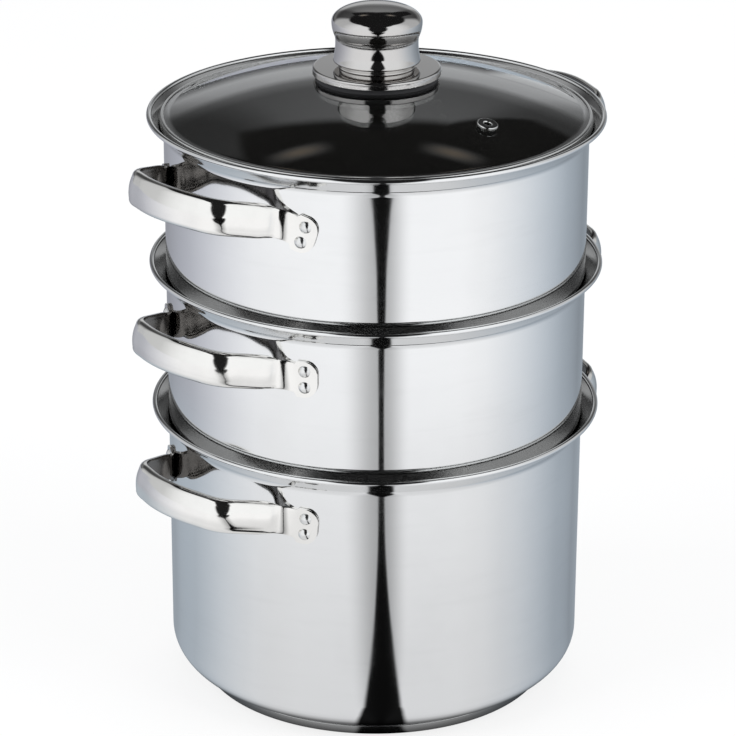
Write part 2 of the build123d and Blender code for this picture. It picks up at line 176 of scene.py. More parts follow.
class Recipe:
    """A material or world in the making: its node tree and one way to add nodes."""

    def __init__(self, owner: Union[bpy.types.Material, bpy.types.World]) -> None:
        """Empties the owner's node tree.

        Args:
            owner: The material or world to fill.
        """
        owner.use_nodes = True
        self.owner = owner
        self.tree = owner.node_tree
        self.tree.nodes.clear()

    def node(
        self, kind: str, settings: dict[str, Any], inputs: dict[Any, Any], output: Union[int, str] = 0
    ) -> Signal:
        """Adds a node, sets it and links it.

        Args:
            kind: The node's type name.
            settings: Its properties, set before its sockets. "stops" fills a colour ramp.
            inputs: Values or signals by socket name or number.
            output: Name or number of the output that is wanted.

        Returns:
            The wanted output as a signal.
        """
        made = self.tree.nodes.new(kind)
        for name, value in settings.items():
            if name == "stops":
                self._fill_ramp(made.color_ramp, value)
            else:
                setattr(made, name, value)
        for name, value in inputs.items():
            if isinstance(value, Signal):
                self.tree.links.new(value.socket, made.inputs[name])
            else:
                made.inputs[name].default_value = value
        return Signal(self, made.outputs[output])

    @staticmethod
    def _fill_ramp(ramp: bpy.types.ColorRamp, stops: Sequence[tuple[float, Sequence[float]]]) -> None:
        """Puts stops of place and colour on a ramp."""
        while len(ramp.elements) < len(stops):
            ramp.elements.new(0.5)
        for element, (place, colour) in zip(ramp.elements, stops):
            element.position = place
            element.color = (*colour, 1.0)

    def coordinates(self, name: str = "Object") -> Signal:
        """Object coordinates or UV of the surface."""
        return self.node("ShaderNodeTexCoord", {}, {}, name)

    def axes(self, vector: Signal) -> tuple[Signal, Signal, Signal]:
        """Splits a vector into its three parts."""
        split = self.node("ShaderNodeSeparateXYZ", {}, {"Vector": vector}).socket.node
        return tuple(Signal(self, split.outputs[axis]) for axis in range(3))

    def vector(self, x: Value, y: Value, z: Value) -> Signal:
        """Joins three parts into a vector."""
        return self.node("ShaderNodeCombineXYZ", {}, {0: x, 1: y, 2: z})

    def reach(self, x: Signal, y: Signal) -> Signal:
        """Distance from the Z axis."""
        flat = self.vector(x, y, 0.0)
        return self.node("ShaderNodeVectorMath", {"operation": "LENGTH"}, {0: flat}, "Value")

    def noise(self, place: Signal, scale: float, detail: float = 2.0, roughness: float = 0.5) -> Signal:
        """Soft noise from 0 to 1.

        Args:
            place: Where it is read.
            scale: How fine it is, per metre.
            detail: How many layers it has.
            roughness: How strong the finer layers are.

        Returns:
            The noise's value.
        """
        inputs = {"Vector": place, "Scale": scale, "Detail": detail, "Roughness": roughness}
        return self.node("ShaderNodeTexNoise", {}, inputs)

    def table(self, place: Signal, start: float, end: float, stops: Table) -> Signal:
        """Looks a value up in a table, with straight lines between its stops.

        Args:
            place: Where it is looked up.
            start: The table's first place.
            end: The table's last place.
            stops: Pairs of place and value.

        Returns:
            The value.
        """
        top = max(value for _, value in stops)
        ramp = self.node(
            "ShaderNodeValToRGB",
            {"stops": [((at - start) / (end - start), (value / top,) * 3) for at, value in stops]},
            {"Fac": (place - start) / (end - start)},
        )
        return ramp * top

    def blend(self, share: Value, first: Value, second: Value) -> Signal:
        """Mixes two colours by a share.

        Args:
            share: 0 gives the first colour and 1 the second.
            first: A colour of three parts, or a signal.
            second: A colour of three parts, or a signal.

        Returns:
            The mixed colour.
        """
        ends = [value if isinstance(value, Signal) else (*value, 1.0) for value in (first, second)]
        return self.node(
            "ShaderNodeMix", {"data_type": "RGBA"}, {0: share, 6: ends[0], 7: ends[1]}, 2
        )

    def bump(self, height: Signal, strength: float, distance: float) -> Signal:
        """Turns a height into a normal.

        Args:
            height: Height from 0 to 1.
            strength: How much of it is used.
            distance: Height of 1 in metres.

        Returns:
            The normal.
        """
        return self.node(
            "ShaderNodeBump", {}, {"Strength": strength, "Distance": distance, "Height": height}
        )

    def light(self, kind: str, colour: Value, strength: Value = 1.0) -> Signal:
        """An emission or background shader, from a signal or a colour of three parts."""
        full = colour if isinstance(colour, Signal) else (*colour, 1.0)
        return self.node(kind, {}, {"Color": full, "Strength": strength})

    def mix(self, share: Value, first: Signal, second: Signal) -> Signal:
        """Mixes two shaders by a share."""
        return self.node("ShaderNodeMixShader", {}, {0: share, 1: first, 2: second})

    def surface(self, **sockets: Value) -> None:
        """Ends the recipe in a Principled shader.

        Args:
            **sockets: Values or signals by socket name, with _ in place of spaces.
        """
        inputs = {
            name.replace("_", " "): (*value, 1.0) if isinstance(value, tuple) and len(value) == 3 else value
            for name, value in sockets.items()
        }
        shader = self.node("ShaderNodeBsdfPrincipled", {}, inputs, "BSDF")
        self.node_output("ShaderNodeOutputMaterial", shader)

    def node_output(self, kind: str, shader: Signal) -> None:
        """Links a shader to the tree's output."""
        end = self.tree.nodes.new(kind)
        self.tree.links.new(shader.socket, end.inputs["Surface"])


# Finishes


def dimmed(colour: Colour, factor: float) -> Colour:
    """A colour with each part multiplied by a factor."""
    return tuple(part * factor for part in colour)


@dataclass(frozen=True)
class TurnedSteel:
    """Polished steel with fine lines that run round the Z axis, from spinning and buffing."""

    name: str
    colour: Colour = (0.86, 0.862, 0.86)
    roughness: float = 0.05
    smudge: float = 0.04
    line_pitch: float = 0.6
    line_depth: float = 0.15
    wear: float = 0.02
    broad_lines: float = 14.0
    smudge_scale: float = 16.0
    streak_scale: float = 26.0
    streak_squeeze: float = 9.0

    def build(self) -> bpy.types.Material:
        """Makes the material."""
        recipe = Recipe(bpy.data.materials.new(self.name))
        place = recipe.coordinates()
        x, y, z = recipe.axes(place)
        radius = recipe.reach(x, y)
        rings = recipe.vector(radius, z, 0.0)
        fine = recipe.noise(rings, 1000 / self.line_pitch, 2.0, 0.6)
        broad = recipe.noise(rings, 1000 / (self.line_pitch * self.broad_lines), 2.0, 0.5)
        smudges = recipe.noise(place, self.smudge_scale, 4.0, 0.62).spread(0.42, 0.68)
        squeezed = recipe.vector(x, y, z * self.streak_squeeze)
        streaks = recipe.noise(squeezed, self.streak_scale, 3.0, 0.6).spread(0.5, 0.75)
        grime = (smudges * 0.65 + streaks * 0.35).at_most(1.0)
        rough = self.roughness + grime * self.smudge + fine * (self.roughness * 0.35)
        dull = dimmed(self.colour, 1.0 - self.wear * 3)
        tint = recipe.blend(grime * 0.7 + broad * 0.3, self.colour, dull)
        height = fine * 0.4 + broad * 0.6
        recipe.surface(
            Base_Color=tint,
            Metallic=1.0,
            Roughness=rough,
            Normal=recipe.bump(height, 1.0, self.line_depth * 1e-6),
        )
        return recipe.owner


@dataclass(frozen=True)
class StrapSteel:
    """Polished strap steel, buffed along its length, which its UV map follows, with painted shade on its
    hollow side.
    """

    name: str
    colour: Colour = (0.9, 0.885, 0.855)
    roughness: float = 0.075
    smudge: float = 0.06
    line_depth: float = 0.5
    # Near black colour of the strap's hollow side: painted shade, not the steel's own colour.
    hollow_shade_colour: Colour = (0.17, 0.16, 0.15)
    raw_roughness: float = 0.16

    def build(self) -> bpy.types.Material:
        """Makes the material."""
        recipe = Recipe(bpy.data.materials.new(self.name))
        along, across, _ = recipe.axes(recipe.coordinates("UV"))
        # Mask of the hollow side: rougher unpolished sheet, and painted shade in its colour.
        rough_and_shaded_side = recipe.node("ShaderNodeAttribute", {"attribute_name": "hollow_side"}, {}, "Fac")
        grain = recipe.noise(recipe.vector(along * 6.0, across * 60.0, 0.0), 2.0, 3.0, 0.6)
        place = recipe.coordinates()
        smudges = recipe.noise(place, 45.0, 4.0, 0.62).spread(0.42, 0.7)
        ripple = recipe.noise(place, 90.0, 1.0, 0.4)
        dull = dimmed(self.colour, 0.93)
        polished = recipe.blend(smudges * 0.6 + grain * 0.4, self.colour, dull)
        recipe.surface(
            Base_Color=recipe.blend(rough_and_shaded_side, polished, self.hollow_shade_colour),
            Metallic=1.0,
            Roughness=self.roughness + smudges * self.smudge + grain * 0.02 + rough_and_shaded_side * self.raw_roughness,
            Normal=recipe.bump(grain * 0.5 + ripple * 0.5, 1.0, self.line_depth * 1e-5),
        )
        return recipe.owner


@dataclass(frozen=True)
class SmallSteel:
    """Steel of small pressed or turned pieces, with a light tumbled texture."""

    name: str
    colour: Colour = (0.83, 0.83, 0.82)
    roughness: float = 0.12
    grain: float = 900.0

    def build(self) -> bpy.types.Material:
        """Makes the material."""
        recipe = Recipe(bpy.data.materials.new(self.name))
        place = recipe.coordinates()
        tumbled = recipe.noise(place, self.grain, 2.0, 0.5)
        patches = recipe.noise(place, self.grain / 6, 3.0, 0.55).spread(0.4, 0.7)
        dull = dimmed(self.colour, 0.9)
        recipe.surface(
            Base_Color=recipe.blend(patches, self.colour, dull),
            Metallic=1.0,
            Roughness=self.roughness + patches * 0.07 + tumbled * 0.04,
            Normal=recipe.bump(tumbled, 1.0, 4e-6),
        )
        return recipe.owner


@dataclass(frozen=True)
class TurnedAluminium:
    """Machined aluminium with visible tool lines round the Z axis."""

    name: str
    colour: Colour = (0.72, 0.725, 0.735)
    roughness: float = 0.3

    def build(self) -> bpy.types.Material:
        """Makes the material."""
        recipe = Recipe(bpy.data.materials.new(self.name))
        place = recipe.coordinates()
        x, y, z = recipe.axes(place)
        radius = recipe.reach(x, y)
        lines = recipe.noise(recipe.vector(radius, z, 0.0), 3200.0, 2.0, 0.6)
        patches = recipe.noise(place, 60.0, 3.0, 0.6).spread(0.4, 0.7)
        dull = dimmed(self.colour, 0.82)
        recipe.surface(
            Base_Color=recipe.blend(lines * 0.6 + patches * 0.4, self.colour, dull),
            Metallic=1.0,
            Roughness=self.roughness + lines * 0.12 + patches * 0.06,
            Normal=recipe.bump(lines, 1.0, 1.2e-5),
        )
        return recipe.owner


@dataclass(frozen=True)
class TemperedGlass:
    """Clear tempered glass with faint wiped marks."""

    name: str
    colour: Colour = (0.93, 0.955, 0.945)
    roughness: float = 0.012

    def build(self) -> bpy.types.Material:
        """Makes the material."""
        recipe = Recipe(bpy.data.materials.new(self.name))
        place = recipe.coordinates()
        x, y, z = recipe.axes(place)
        wiped = recipe.noise(recipe.vector(x, y * 3.0, z), 30.0, 4.0, 0.62).spread(0.5, 0.78)
        waves = recipe.noise(place, 24.0, 1.0, 0.4)
        dull = dimmed(self.colour, 0.97)
        recipe.surface(
            Base_Color=recipe.blend(wiped, self.colour, dull),
            Roughness=self.roughness + wiped * 0.03,
            Normal=recipe.bump(waves, 1.0, 6e-5),
            IOR=1.5,
            Transmission_Weight=1.0,
            Coat_Weight=1.0,
            Coat_IOR=2.1,
            Coat_Roughness=0.01,
        )
        return recipe.owner


@dataclass(frozen=True)
class Silicone:
    """Matte moulded silicone of the gaskets, coloured nearly black as painted shade under the knob's flange.
    """

    name: str
    # Near black: painted shade under the knob's flange.
    colour: Colour = (0.03, 0.03, 0.032)

    def build(self) -> bpy.types.Material:
        """Makes the material."""
        recipe = Recipe(bpy.data.materials.new(self.name))
        place = recipe.coordinates()
        skin = recipe.noise(place, 1400.0, 3.0, 0.6)
        bloom = recipe.noise(place, 120.0, 3.0, 0.6).spread(0.42, 0.72)
        pale = dimmed(self.colour, 1.25)
        recipe.surface(
            Base_Color=recipe.blend(bloom, self.colour, pale),
            Roughness=0.55 + bloom * 0.15 + skin * 0.08,
            Normal=recipe.bump(skin, 1.0, 1.5e-5),
        )
        return recipe.owner


# Workbench


def rounded(corners: Sequence[Corner], support: float = 0.12) -> list[Point]:
    """Rounds the corners of a closed outline, with a point close by on each side of an arc.

    Args:
        corners: Radius from the axis, height and rounding of each corner, in millimetres.
        support: How far the extra points lie from an arc's ends.

    Returns:
        The points of the outline.
    """
    points: list[Point] = []
    for index, (r, z, rounding) in enumerate(corners):
        here = Vector((r, z))
        if rounding <= 0:
            points.append((r, z))
            continue
        before = Vector(corners[index - 1][:2]) - here
        after = Vector(corners[(index + 1) % len(corners)][:2]) - here
        half = before.angle(after) / 2
        reach = rounding / tan(half)
        centre = here + (before.normalized() + after.normalized()).normalized() * (rounding / sin(half))
        start = here + before.normalized() * reach
        end = here + after.normalized() * reach
        if before.length > reach + 3 * support:
            points.append(tuple(start + before.normalized() * support))
        first = (start - centre).normalized()
        last = (end - centre).normalized()
        sweep = first.angle(last)
        steps = max(3, int(degrees(sweep) / ARC_DEGREES) + 1)
        for step in range(steps + 1):
            share = step / steps
            arm = (first * sin((1 - share) * sweep) + last * sin(share * sweep)) / sin(sweep)
            points.append(tuple(centre + arm * rounding))
        if after.length > reach + 3 * support:
            points.append(tuple(end + after.normalized() * support))
    return points


def eased(share: float) -> float:
    """A share that is held at 1 and eased at both ends."""
    held = min(1.0, share)
    return held * held * (3 - 2 * held)


def arc(centre: Point, radius: float, start: float, end: float, steps: int) -> list[Point]:
    """Points on an arc.

    Args:
        centre: Its centre.
        radius: Its radius.
        start: Angle of its first point in degrees.
        end: Angle of its last point in degrees.
        steps: How many parts it has.

    Returns:
        The points, both ends among them.
    """
    angles = [radians(start + (end - start) * step / steps) for step in range(steps + 1)]
    return [(centre[0] + radius * cos(angle), centre[1] + radius * sin(angle)) for angle in angles]


class Bench:
    """The modelling steps that every piece uses, made with Blender's operators."""

    @staticmethod
    def clear() -> None:
        """Deselects everything, in object mode."""
        if bpy.context.mode != "OBJECT":
            bpy.ops.object.mode_set(mode="OBJECT")
        bpy.ops.object.select_all(action="DESELECT")

    @staticmethod
    def only(piece: bpy.types.Object) -> None:
        """Selects one object and makes it active."""
        Bench.clear()
        piece.select_set(True)
        bpy.context.view_layer.objects.active = piece

    @staticmethod
    def turned(name: str, outline: Sequence[Point], steps: int = SEGMENTS) -> bpy.types.Object:
        """Spins a closed outline about the Z axis.

        Args:
            name: The piece's name.
            outline: Radius and height of its points, in millimetres.
            steps: How many parts the turn has.

        Returns:
            The piece, closed and with its faces outwards.
        """
        Bench.clear()
        bpy.ops.mesh.primitive_circle_add(vertices=len(outline), radius=MM)
        piece = bpy.context.object
        piece.name = piece.data.name = name
        for vertex, (r, z) in zip(piece.data.vertices, outline):
            vertex.co = Vector((r, 0.0, z)) * MM
        bpy.ops.object.mode_set(mode="EDIT")
        bpy.ops.mesh.select_all(action="SELECT")
        bpy.ops.mesh.spin(steps=steps, angle=2 * pi, center=(0, 0, 0), axis=(0, 0, 1))
        bpy.ops.mesh.select_all(action="SELECT")
        bpy.ops.mesh.remove_doubles(threshold=2e-7)
        bpy.ops.mesh.delete_loose(use_verts=True, use_edges=True, use_faces=False)
        bpy.ops.mesh.select_all(action="SELECT")
        bpy.ops.mesh.normals_make_consistent(inside=False)
        bpy.ops.object.mode_set(mode="OBJECT")
        return piece

    @staticmethod
    def smooth(piece: bpy.types.Object, angle: float = 32.0) -> bpy.types.Object:
        """Shades a piece smooth, with edges sharper than an angle left crisp."""
        Bench.only(piece)
        bpy.ops.object.shade_smooth_by_angle(angle=radians(angle))
        return piece

    @staticmethod
    def settle(piece: bpy.types.Object, place: Matrix) -> bpy.types.Object:
        """Puts a turned piece where a matrix says and bakes that into its mesh."""
        Bench.only(piece)
        piece.matrix_world = place
        bpy.ops.object.transform_apply(location=True, rotation=True, scale=True)
        return piece

    @staticmethod
    def copies(piece: bpy.types.Object, places: Sequence[Matrix]) -> bpy.types.Object:
        """Copies a piece to several places and joins the copies.

        Args:
            piece: The first one, which is used up.
            places: Where each copy goes.

        Returns:
            One object that holds them all.
        """
        name = piece.name
        made = []
        for place in places:
            copy = bpy.data.objects.new(name, piece.data.copy())
            copy.data.transform(place)
            bpy.context.scene.collection.objects.link(copy)
            made.append(copy)
        bpy.data.objects.remove(piece)
        Bench.clear()
        for copy in made:
            copy.select_set(True)
        bpy.context.view_layer.objects.active = made[0]
        if len(made) > 1:
            bpy.ops.object.join()
        made[0].name = made[0].data.name = name
        return made[0]

    @staticmethod
    def apply(piece: bpy.types.Object, kind: str, **settings: Any) -> bpy.types.Object:
        """Adds a modifier with its settings and applies it."""
        Bench.only(piece)
        modifier = piece.modifiers.new(kind.lower(), kind)
        for name, value in settings.items():
            setattr(modifier, name, value)
        bpy.ops.object.modifier_apply(modifier=modifier.name)
        return piece

    @staticmethod
    def bore(
        piece: bpy.types.Object, radius: float, depth: float, places: Sequence[Matrix], sides: int
    ) -> None:
        """Cuts round holes through a piece.

        Args:
            piece: The piece that gets the holes.
            radius: Their radius in millimetres.
            depth: How deep the cutter is, in millimetres.
            places: The middle and direction of each hole.
            sides: How many sides a hole has.
        """
        Bench.clear()
        bpy.ops.mesh.primitive_cylinder_add(vertices=sides, radius=radius * MM, depth=depth * MM)
        cutter = bpy.context.object
        cutter.name = piece.name + "_cutter"
        cutter = Bench.copies(cutter, places)
        Bench.apply(piece, "BOOLEAN", operation="DIFFERENCE", solver="EXACT", object=cutter)
        bpy.data.objects.remove(cutter)

    @staticmethod
    def dress(
        piece: bpy.types.Object, material: bpy.types.Material, body: str, slot: str, node: str
    ) -> bpy.types.Object:
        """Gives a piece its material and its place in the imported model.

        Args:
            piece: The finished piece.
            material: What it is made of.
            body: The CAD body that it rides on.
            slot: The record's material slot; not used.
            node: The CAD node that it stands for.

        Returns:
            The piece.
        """
        if not piece.data.materials:
            piece.data.materials.append(material)
        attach(piece, body)
        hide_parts(node)
        log.info("%s: %d faces, rides on %s", piece.name, len(piece.data.polygons), body)
        return piece


# The pot


def finish(kind: type, name: str, **values: Any) -> Any:
    """A field that makes the material of one finish."""
    return field(default_factory=lambda: kind(name, **values).build())


@dataclass
class Finishes:
    """The materials of the steamer pot, each made once."""

    mirror: bpy.types.Material = finish(TurnedSteel, "mirror_steel")
    # Satin steel of the inner faces. Its dark colour is painted shade for the inside and for the grooves
    # under the collars.
    inside: bpy.types.Material = finish(
        TurnedSteel,
        "satin_inside_steel",
        colour=(0.5, 0.497, 0.492),
        roughness=0.14,
        smudge=0.07,
        line_pitch=0.45,
        line_depth=1.2,
    )
    strap: bpy.types.Material = finish(StrapSteel, "strap_steel")
    rivet: bpy.types.Material = finish(SmallSteel, "rivet_steel")
    # Base cap steel, darker partly for its duller turned finish and partly as painted shade where it meets
    # the floor.
    cap_side: bpy.types.Material = finish(
        TurnedSteel, "base_cap_steel", colour=(0.56, 0.56, 0.555), roughness=0.14, line_depth=0.8
    )
    cap_under: bpy.types.Material = finish(
        TurnedSteel,
        "base_underside_steel",
        colour=(0.74, 0.74, 0.735),
        roughness=0.26,
        smudge=0.1,
        line_pitch=0.5,
        line_depth=4.0,
    )
    core: bpy.types.Material = finish(TurnedAluminium, "core_aluminium")
    glass: bpy.types.Material = finish(TemperedGlass, "tempered_glass")
    ring: bpy.types.Material = finish(
        TurnedSteel, "rim_ring_steel", colour=(0.82, 0.82, 0.81), roughness=0.1, line_depth=0.5
    )
    # Knob steel: the polished steel with its colour dimmed as painted shade for the dark room that the knob
    # and flange mirror.
    knob: bpy.types.Material = finish(
        TurnedSteel, "knob_steel", colour=(0.64, 0.625, 0.61), roughness=0.05, line_pitch=0.5
    )
    screw: bpy.types.Material = finish(SmallSteel, "screw_steel", colour=(0.72, 0.72, 0.72), roughness=0.2)
    silicone: bpy.types.Material = finish(Silicone, "gasket_silicone")


@dataclass
class Vessel:
    """One pressed vessel: floor, rounded corner, wall, flared collar and rolled lip."""

    tier: Tier
    node: str
    floor: float
    lip: float
    corner: float
    perforated: bool
    radius: float = 90.0
    wall: float = 0.8
    flare: float = 44.0
    bend: float = 4.0
    bead: float = 1.1
    bead_place: float = 96.0
    hole: float = 2.5
    hole_pitch: float = 11.5
    hole_rings: int = 5
    holes_per_step: int = 6
    hole_sides: int = 20
    lip_margin: float = 0.6

    def outline(self) -> list[Point]:
        """Closed outline from the middle of the underside out, up, over the lip and back."""
        lean, rise = sin(radians(self.flare)), cos(radians(self.flare))
        half = self.wall / 2
        along = sqrt(self.bead**2 - half**2)
        outside = (rise * half, -lean * half)
        outer_fall = (self.bead_place + outside[0] - self.radius) / lean * rise - outside[1]
        inner_fall = (self.bead_place - outside[0] - self.radius + self.wall) / lean * rise + outside[1]
        meet = degrees(atan2(half, along))
        back = degrees(atan2(-rise, -lean))
        bead = arc((self.bead_place, self.lip), self.bead, back + meet, back + 360 - meet, 40)
        outer = rounded(
            [
                (0.0, self.floor, 0.0),
                (self.radius, self.floor, self.corner),
                (self.radius, self.lip - outer_fall, self.bend),
                (*bead[0], 0.0),
            ]
        )
        inner = rounded(
            [
                (*bead[-1], 0.0),
                (self.radius - self.wall, self.lip - inner_fall, self.bend + self.wall),
                (self.radius - self.wall, self.floor + self.wall, self.corner - self.wall),
                (0.0, self.floor + self.wall, 0.0),
            ]
        )
        return outer + bead[1:-1] + inner

    def holes(self) -> list[Matrix]:
        """Places of the steam holes: one in the middle and rings round it."""
        height = (self.floor + self.wall / 2) * MM
        places = [Matrix.Translation((0.0, 0.0, height))]
        for ring in range(1, self.hole_rings + 1):
            count = ring * self.holes_per_step
            for index in range(count):
                angle = 2 * pi * index / count
                arm = ring * self.hole_pitch * MM
                places.append(Matrix.Translation((arm * cos(angle), arm * sin(angle), height)))
        return places

    def build(self, finishes: Finishes) -> bpy.types.Object:
        """Makes the vessel.

        Args:
            finishes: The materials to choose from.

        Returns:
            The finished piece.
        """
        piece = Bench.turned(f"{self.tier.value}_vessel", self.outline())
        if self.perforated:
            Bench.bore(piece, self.hole, 6 * self.wall, self.holes(), self.hole_sides)
        piece.data.materials.append(finishes.mirror)
        piece.data.materials.append(finishes.inside)
        self._line(piece)
        Bench.smooth(piece)
        return Bench.dress(piece, finishes.mirror, self.tier.value, "vessel_steel", self.node)

    def _line(self, piece: bpy.types.Object) -> None:
        """Gives the faces inside the vessel the inner material, whose darker colour is painted shade, up to
        the lip's bead.
        """
        for face in piece.data.polygons:
            middle = face.center / MM
            outwards = Vector((middle.x, middle.y, 0.0))
            reach = outwards.length
            facing = face.normal.dot(outwards.normalized()) if reach > 1e-6 else 0.0
            below_bead = middle.z < self.lip - self.lip_margin and reach < self.bead_place - self.lip_margin
            in_wall = facing < -0.02 and below_bead
            on_floor = face.normal.z > 0.9 and middle.z < self.floor + 3 * self.wall
            face.material_index = 1 if in_wall or on_floor else 0


@dataclass
class StrapHandle:
    """One side handle: a strap with a riveted tab at each end, pressed from one sheet."""

    tier: Tier
    side: Side
    lip: float
    twist: float
    vessel_radius: float = 90.0
    tab_sheet: float = 1.4
    sheet: float = 1.25
    drop: float = 21.6
    base_angle: float = 24.3
    tilt: float = 12.0
    reach: float = 28.5
    nose: float = 8.5
    corner_half: float = 27.5
    corner_radius: float = 14.5
    nose_radius: float = 45.0
    half_width: float = 7.3
    root_half_width: float = 6.1
    waist: float = 12.0
    crown: float = 1.6
    edge_radius: float = 2.6
    edge_drop: float = 0.3
    tab_length: float = 14.0
    tab_half_width: float = 7.8
    tab_shoulder: float = 4.5
    tab_end_radius: float = 6.0
    tab_drop: float = 1.2
    bend_reach: float = 5.2
    bend_margin: float = 0.5
    bend_steps: int = 9
    tab_steps: int = 8
    loop_step: float = 1.6
    press_length: float = 9.0
    edge_share: float = 0.38
    edge_steps: int = 5
    crown_steps: int = 12
    cut_edge: float = 0.22
    hollow_depth: float = 6.0
    hollow_facing: float = -0.12

    @property
    def azimuth(self) -> float:
        """Direction that the handle points to."""
        return self.side.value

    @property
    def root_height(self) -> float:
        """Height of the strap's middle at the wall."""
        return self.lip - self.drop

    def _outwards(self) -> Vector:
        """Unit vector from the pot's axis through the middle of the handle."""
        return Vector((cos(radians(self.azimuth)), sin(radians(self.azimuth)), 0.0))

    def _tab_point(self, along: float, sign: int) -> tuple[Vector, Vector, Vector]:
        """A place on a tab's middle line.

        Args:
            along: Distance from the bend.
            sign: -1 for the first tab and 1 for the second.

        Returns:
            The point on the outer face, the way across the strap and the way out.
        """
        outer = self.vessel_radius + self.tab_sheet
        turn = radians(self.twist)
        angle = radians(self.azimuth + sign * (self.base_angle + degrees(along * cos(turn) / outer)))
        out = Vector((cos(angle), sin(angle), 0.0))
        away = Vector((-out.y, out.x, 0.0)) * sign
        height = self.root_height - self.tab_drop * min(1.0, along / self.tab_shoulder) - along * sin(turn)
        across = Vector((0.0, 0.0, cos(turn))) + away * sin(turn)
        return out * outer + Vector((0.0, 0.0, height)), across, out

    def _loop_route(self) -> list[Vector]:
        """Middle line of the loop in its tilted plane, from one root to the other."""
        outer = self.vessel_radius + self.tab_sheet
        root_half = outer * sin(radians(self.base_angle))
        flat = rounded(
            [
                (0.0, -root_half, 0.0),
                (self.reach, -self.corner_half, self.corner_radius),
                (self.reach + self.nose, 0.0, self.nose_radius),
                (self.reach, self.corner_half, self.corner_radius),
                (0.0, root_half, 0.0),
            ],
            support=1.2,
        )
        out = self._outwards()
        side = Vector((-out.y, out.x, 0.0))
        tilted = out * cos(radians(self.tilt)) + Vector((0.0, 0.0, sin(radians(self.tilt))))
        root = out * (outer * cos(radians(self.base_angle))) + Vector((0.0, 0.0, self.root_height))
        return [root + tilted * u + side * v for u, v in flat]

    def stations(self) -> list[Point]:
        """Distance from the bend and half width along a tab, from its end to the bend."""
        made: list[Point] = []
        straight = self.tab_length - self.tab_end_radius
        for beta in range(0, 91, 9):
            along = straight + self.tab_end_radius * cos(radians(beta))
            width = self.tab_half_width - self.tab_end_radius + self.tab_end_radius * sin(radians(beta))
            made.append((along, width))
        for step in range(1, self.tab_steps + 1):
            along = straight - (straight - self.bend_reach) * step / self.tab_steps
            share = eased(along / self.tab_shoulder)
            made.append((along, self.root_half_width + (self.tab_half_width - self.root_half_width) * share))
        return made

    def surface(self) -> list[Station]:
        """The strap's middle line with its frames.

        Returns:
            For each place: point, way across, way out, half width and how far it is pressed.
        """
        up = Vector((0.0, 0.0, cos(radians(self.tilt)))) - self._outwards() * sin(radians(self.tilt))
        places: list[Station] = []
        tabs = self.stations()
        for along, half in tabs:
            places.append((*self._tab_point(along, -1), half, 0.0))
        route = self._loop_route()
        total = 0.0
        loop: list[tuple[Vector, float]] = [(route[0], total)]
        for before, point in zip(route, route[1:]):
            length = (point - before).length
            parts = max(1, int(length / self.loop_step))
            for part in range(1, parts + 1):
                loop.append((before.lerp(point, part / parts), total + length * part / parts))
            total += length
        tab_near = self._tab_point(self.bend_reach, -1)
        leg_start = next(p for p, d in loop if d >= self.bend_reach)
        first_leg = (leg_start - route[0]).normalized()
        places += self._bend(tab_near, route[0], route[0] + first_leg * self.bend_reach, up, False)
        for index, (point, distance) in enumerate(loop):
            in_first_bend = distance < self.bend_reach + self.bend_margin
            if in_first_bend or distance > total - self.bend_reach - self.bend_margin:
                continue
            tangent = (loop[index + 1][0] - loop[index - 1][0]).normalized()
            out = tangent.cross(up).normalized()
            nearest = min(distance, total - distance)
            share = eased(nearest / self.waist)
            half = self.root_half_width + (self.half_width - self.root_half_width) * share
            places.append((point, up, out, half, eased(nearest / self.press_length)))
        last_leg = (loop[-2][0] - route[-1]).normalized()
        tab_far = self._tab_point(self.bend_reach, 1)
        places += self._bend(tab_far, route[-1], route[-1] + last_leg * self.bend_reach, up, True)
        for along, half in reversed(tabs):
            places.append((*self._tab_point(along, 1), half, 0.0))
        return places

    def _bend(
        self, tab: tuple[Vector, Vector, Vector], corner: Vector, leg: Vector, up: Vector, leaving: bool
    ) -> list[Station]:
        """The rounded bend between a tab and the loop.

        Args:
            tab: Point, way across and way out at the end of the tab's flat.
            corner: Where the two lines would meet.
            leg: Where the loop's straight leg starts.
            up: Way across the loop.
            leaving: Whether the bend runs from the loop to the tab.

        Returns:
            The places on the bend.
        """
        made = []
        for step in range(1, self.bend_steps):
            share = step / self.bend_steps
            point = tab[0] * (1 - share) ** 2 + corner * (2 * share * (1 - share)) + leg * share**2
            slope = (corner - tab[0]) * (1 - share) + (leg - corner) * share
            tangent = slope.normalized() * (-1 if leaving else 1)
            across = (tab[1] * (1 - share) + up * share).normalized()
            out = tangent.cross(across).normalized()
            made.append((point, across, out, self.root_half_width, 0.06 * share))
        return made[::-1] if leaving else made

    def section(self, half: float, press: float) -> list[Point]:
        """Outline across the strap: crowned face with turned in edges.

        Args:
            half: Half the strap's width.
            press: 0 for flat sheet and 1 for the full crown.

        Returns:
            Offsets across the strap and outwards.
        """
        rounding = min(self.edge_radius, self.edge_share * half)
        edge = half - rounding
        crown_at_edge = self.crown * (1 - (edge / half) ** 2)
        side: list[Point] = []
        for step in range(self.edge_steps + 1):
            angle = radians(90 * step / self.edge_steps)
            depth = (crown_at_edge - rounding * (1 - cos(angle))) * press
            side.append((edge + rounding * sin(angle), depth))
        side.append((half, (crown_at_edge - rounding - self.edge_drop) * press))
        if press < 0.5:
            side[-1] = (half + PLAY, side[-1][1])
        middle = []
        for step in range(1, self.crown_steps):
            offset = -edge + 2 * edge * step / self.crown_steps
            middle.append((offset, self.crown * (1 - (offset / half) ** 2) * press))
        left = [(-offset, depth) for offset, depth in reversed(side)]
        return left + middle + side

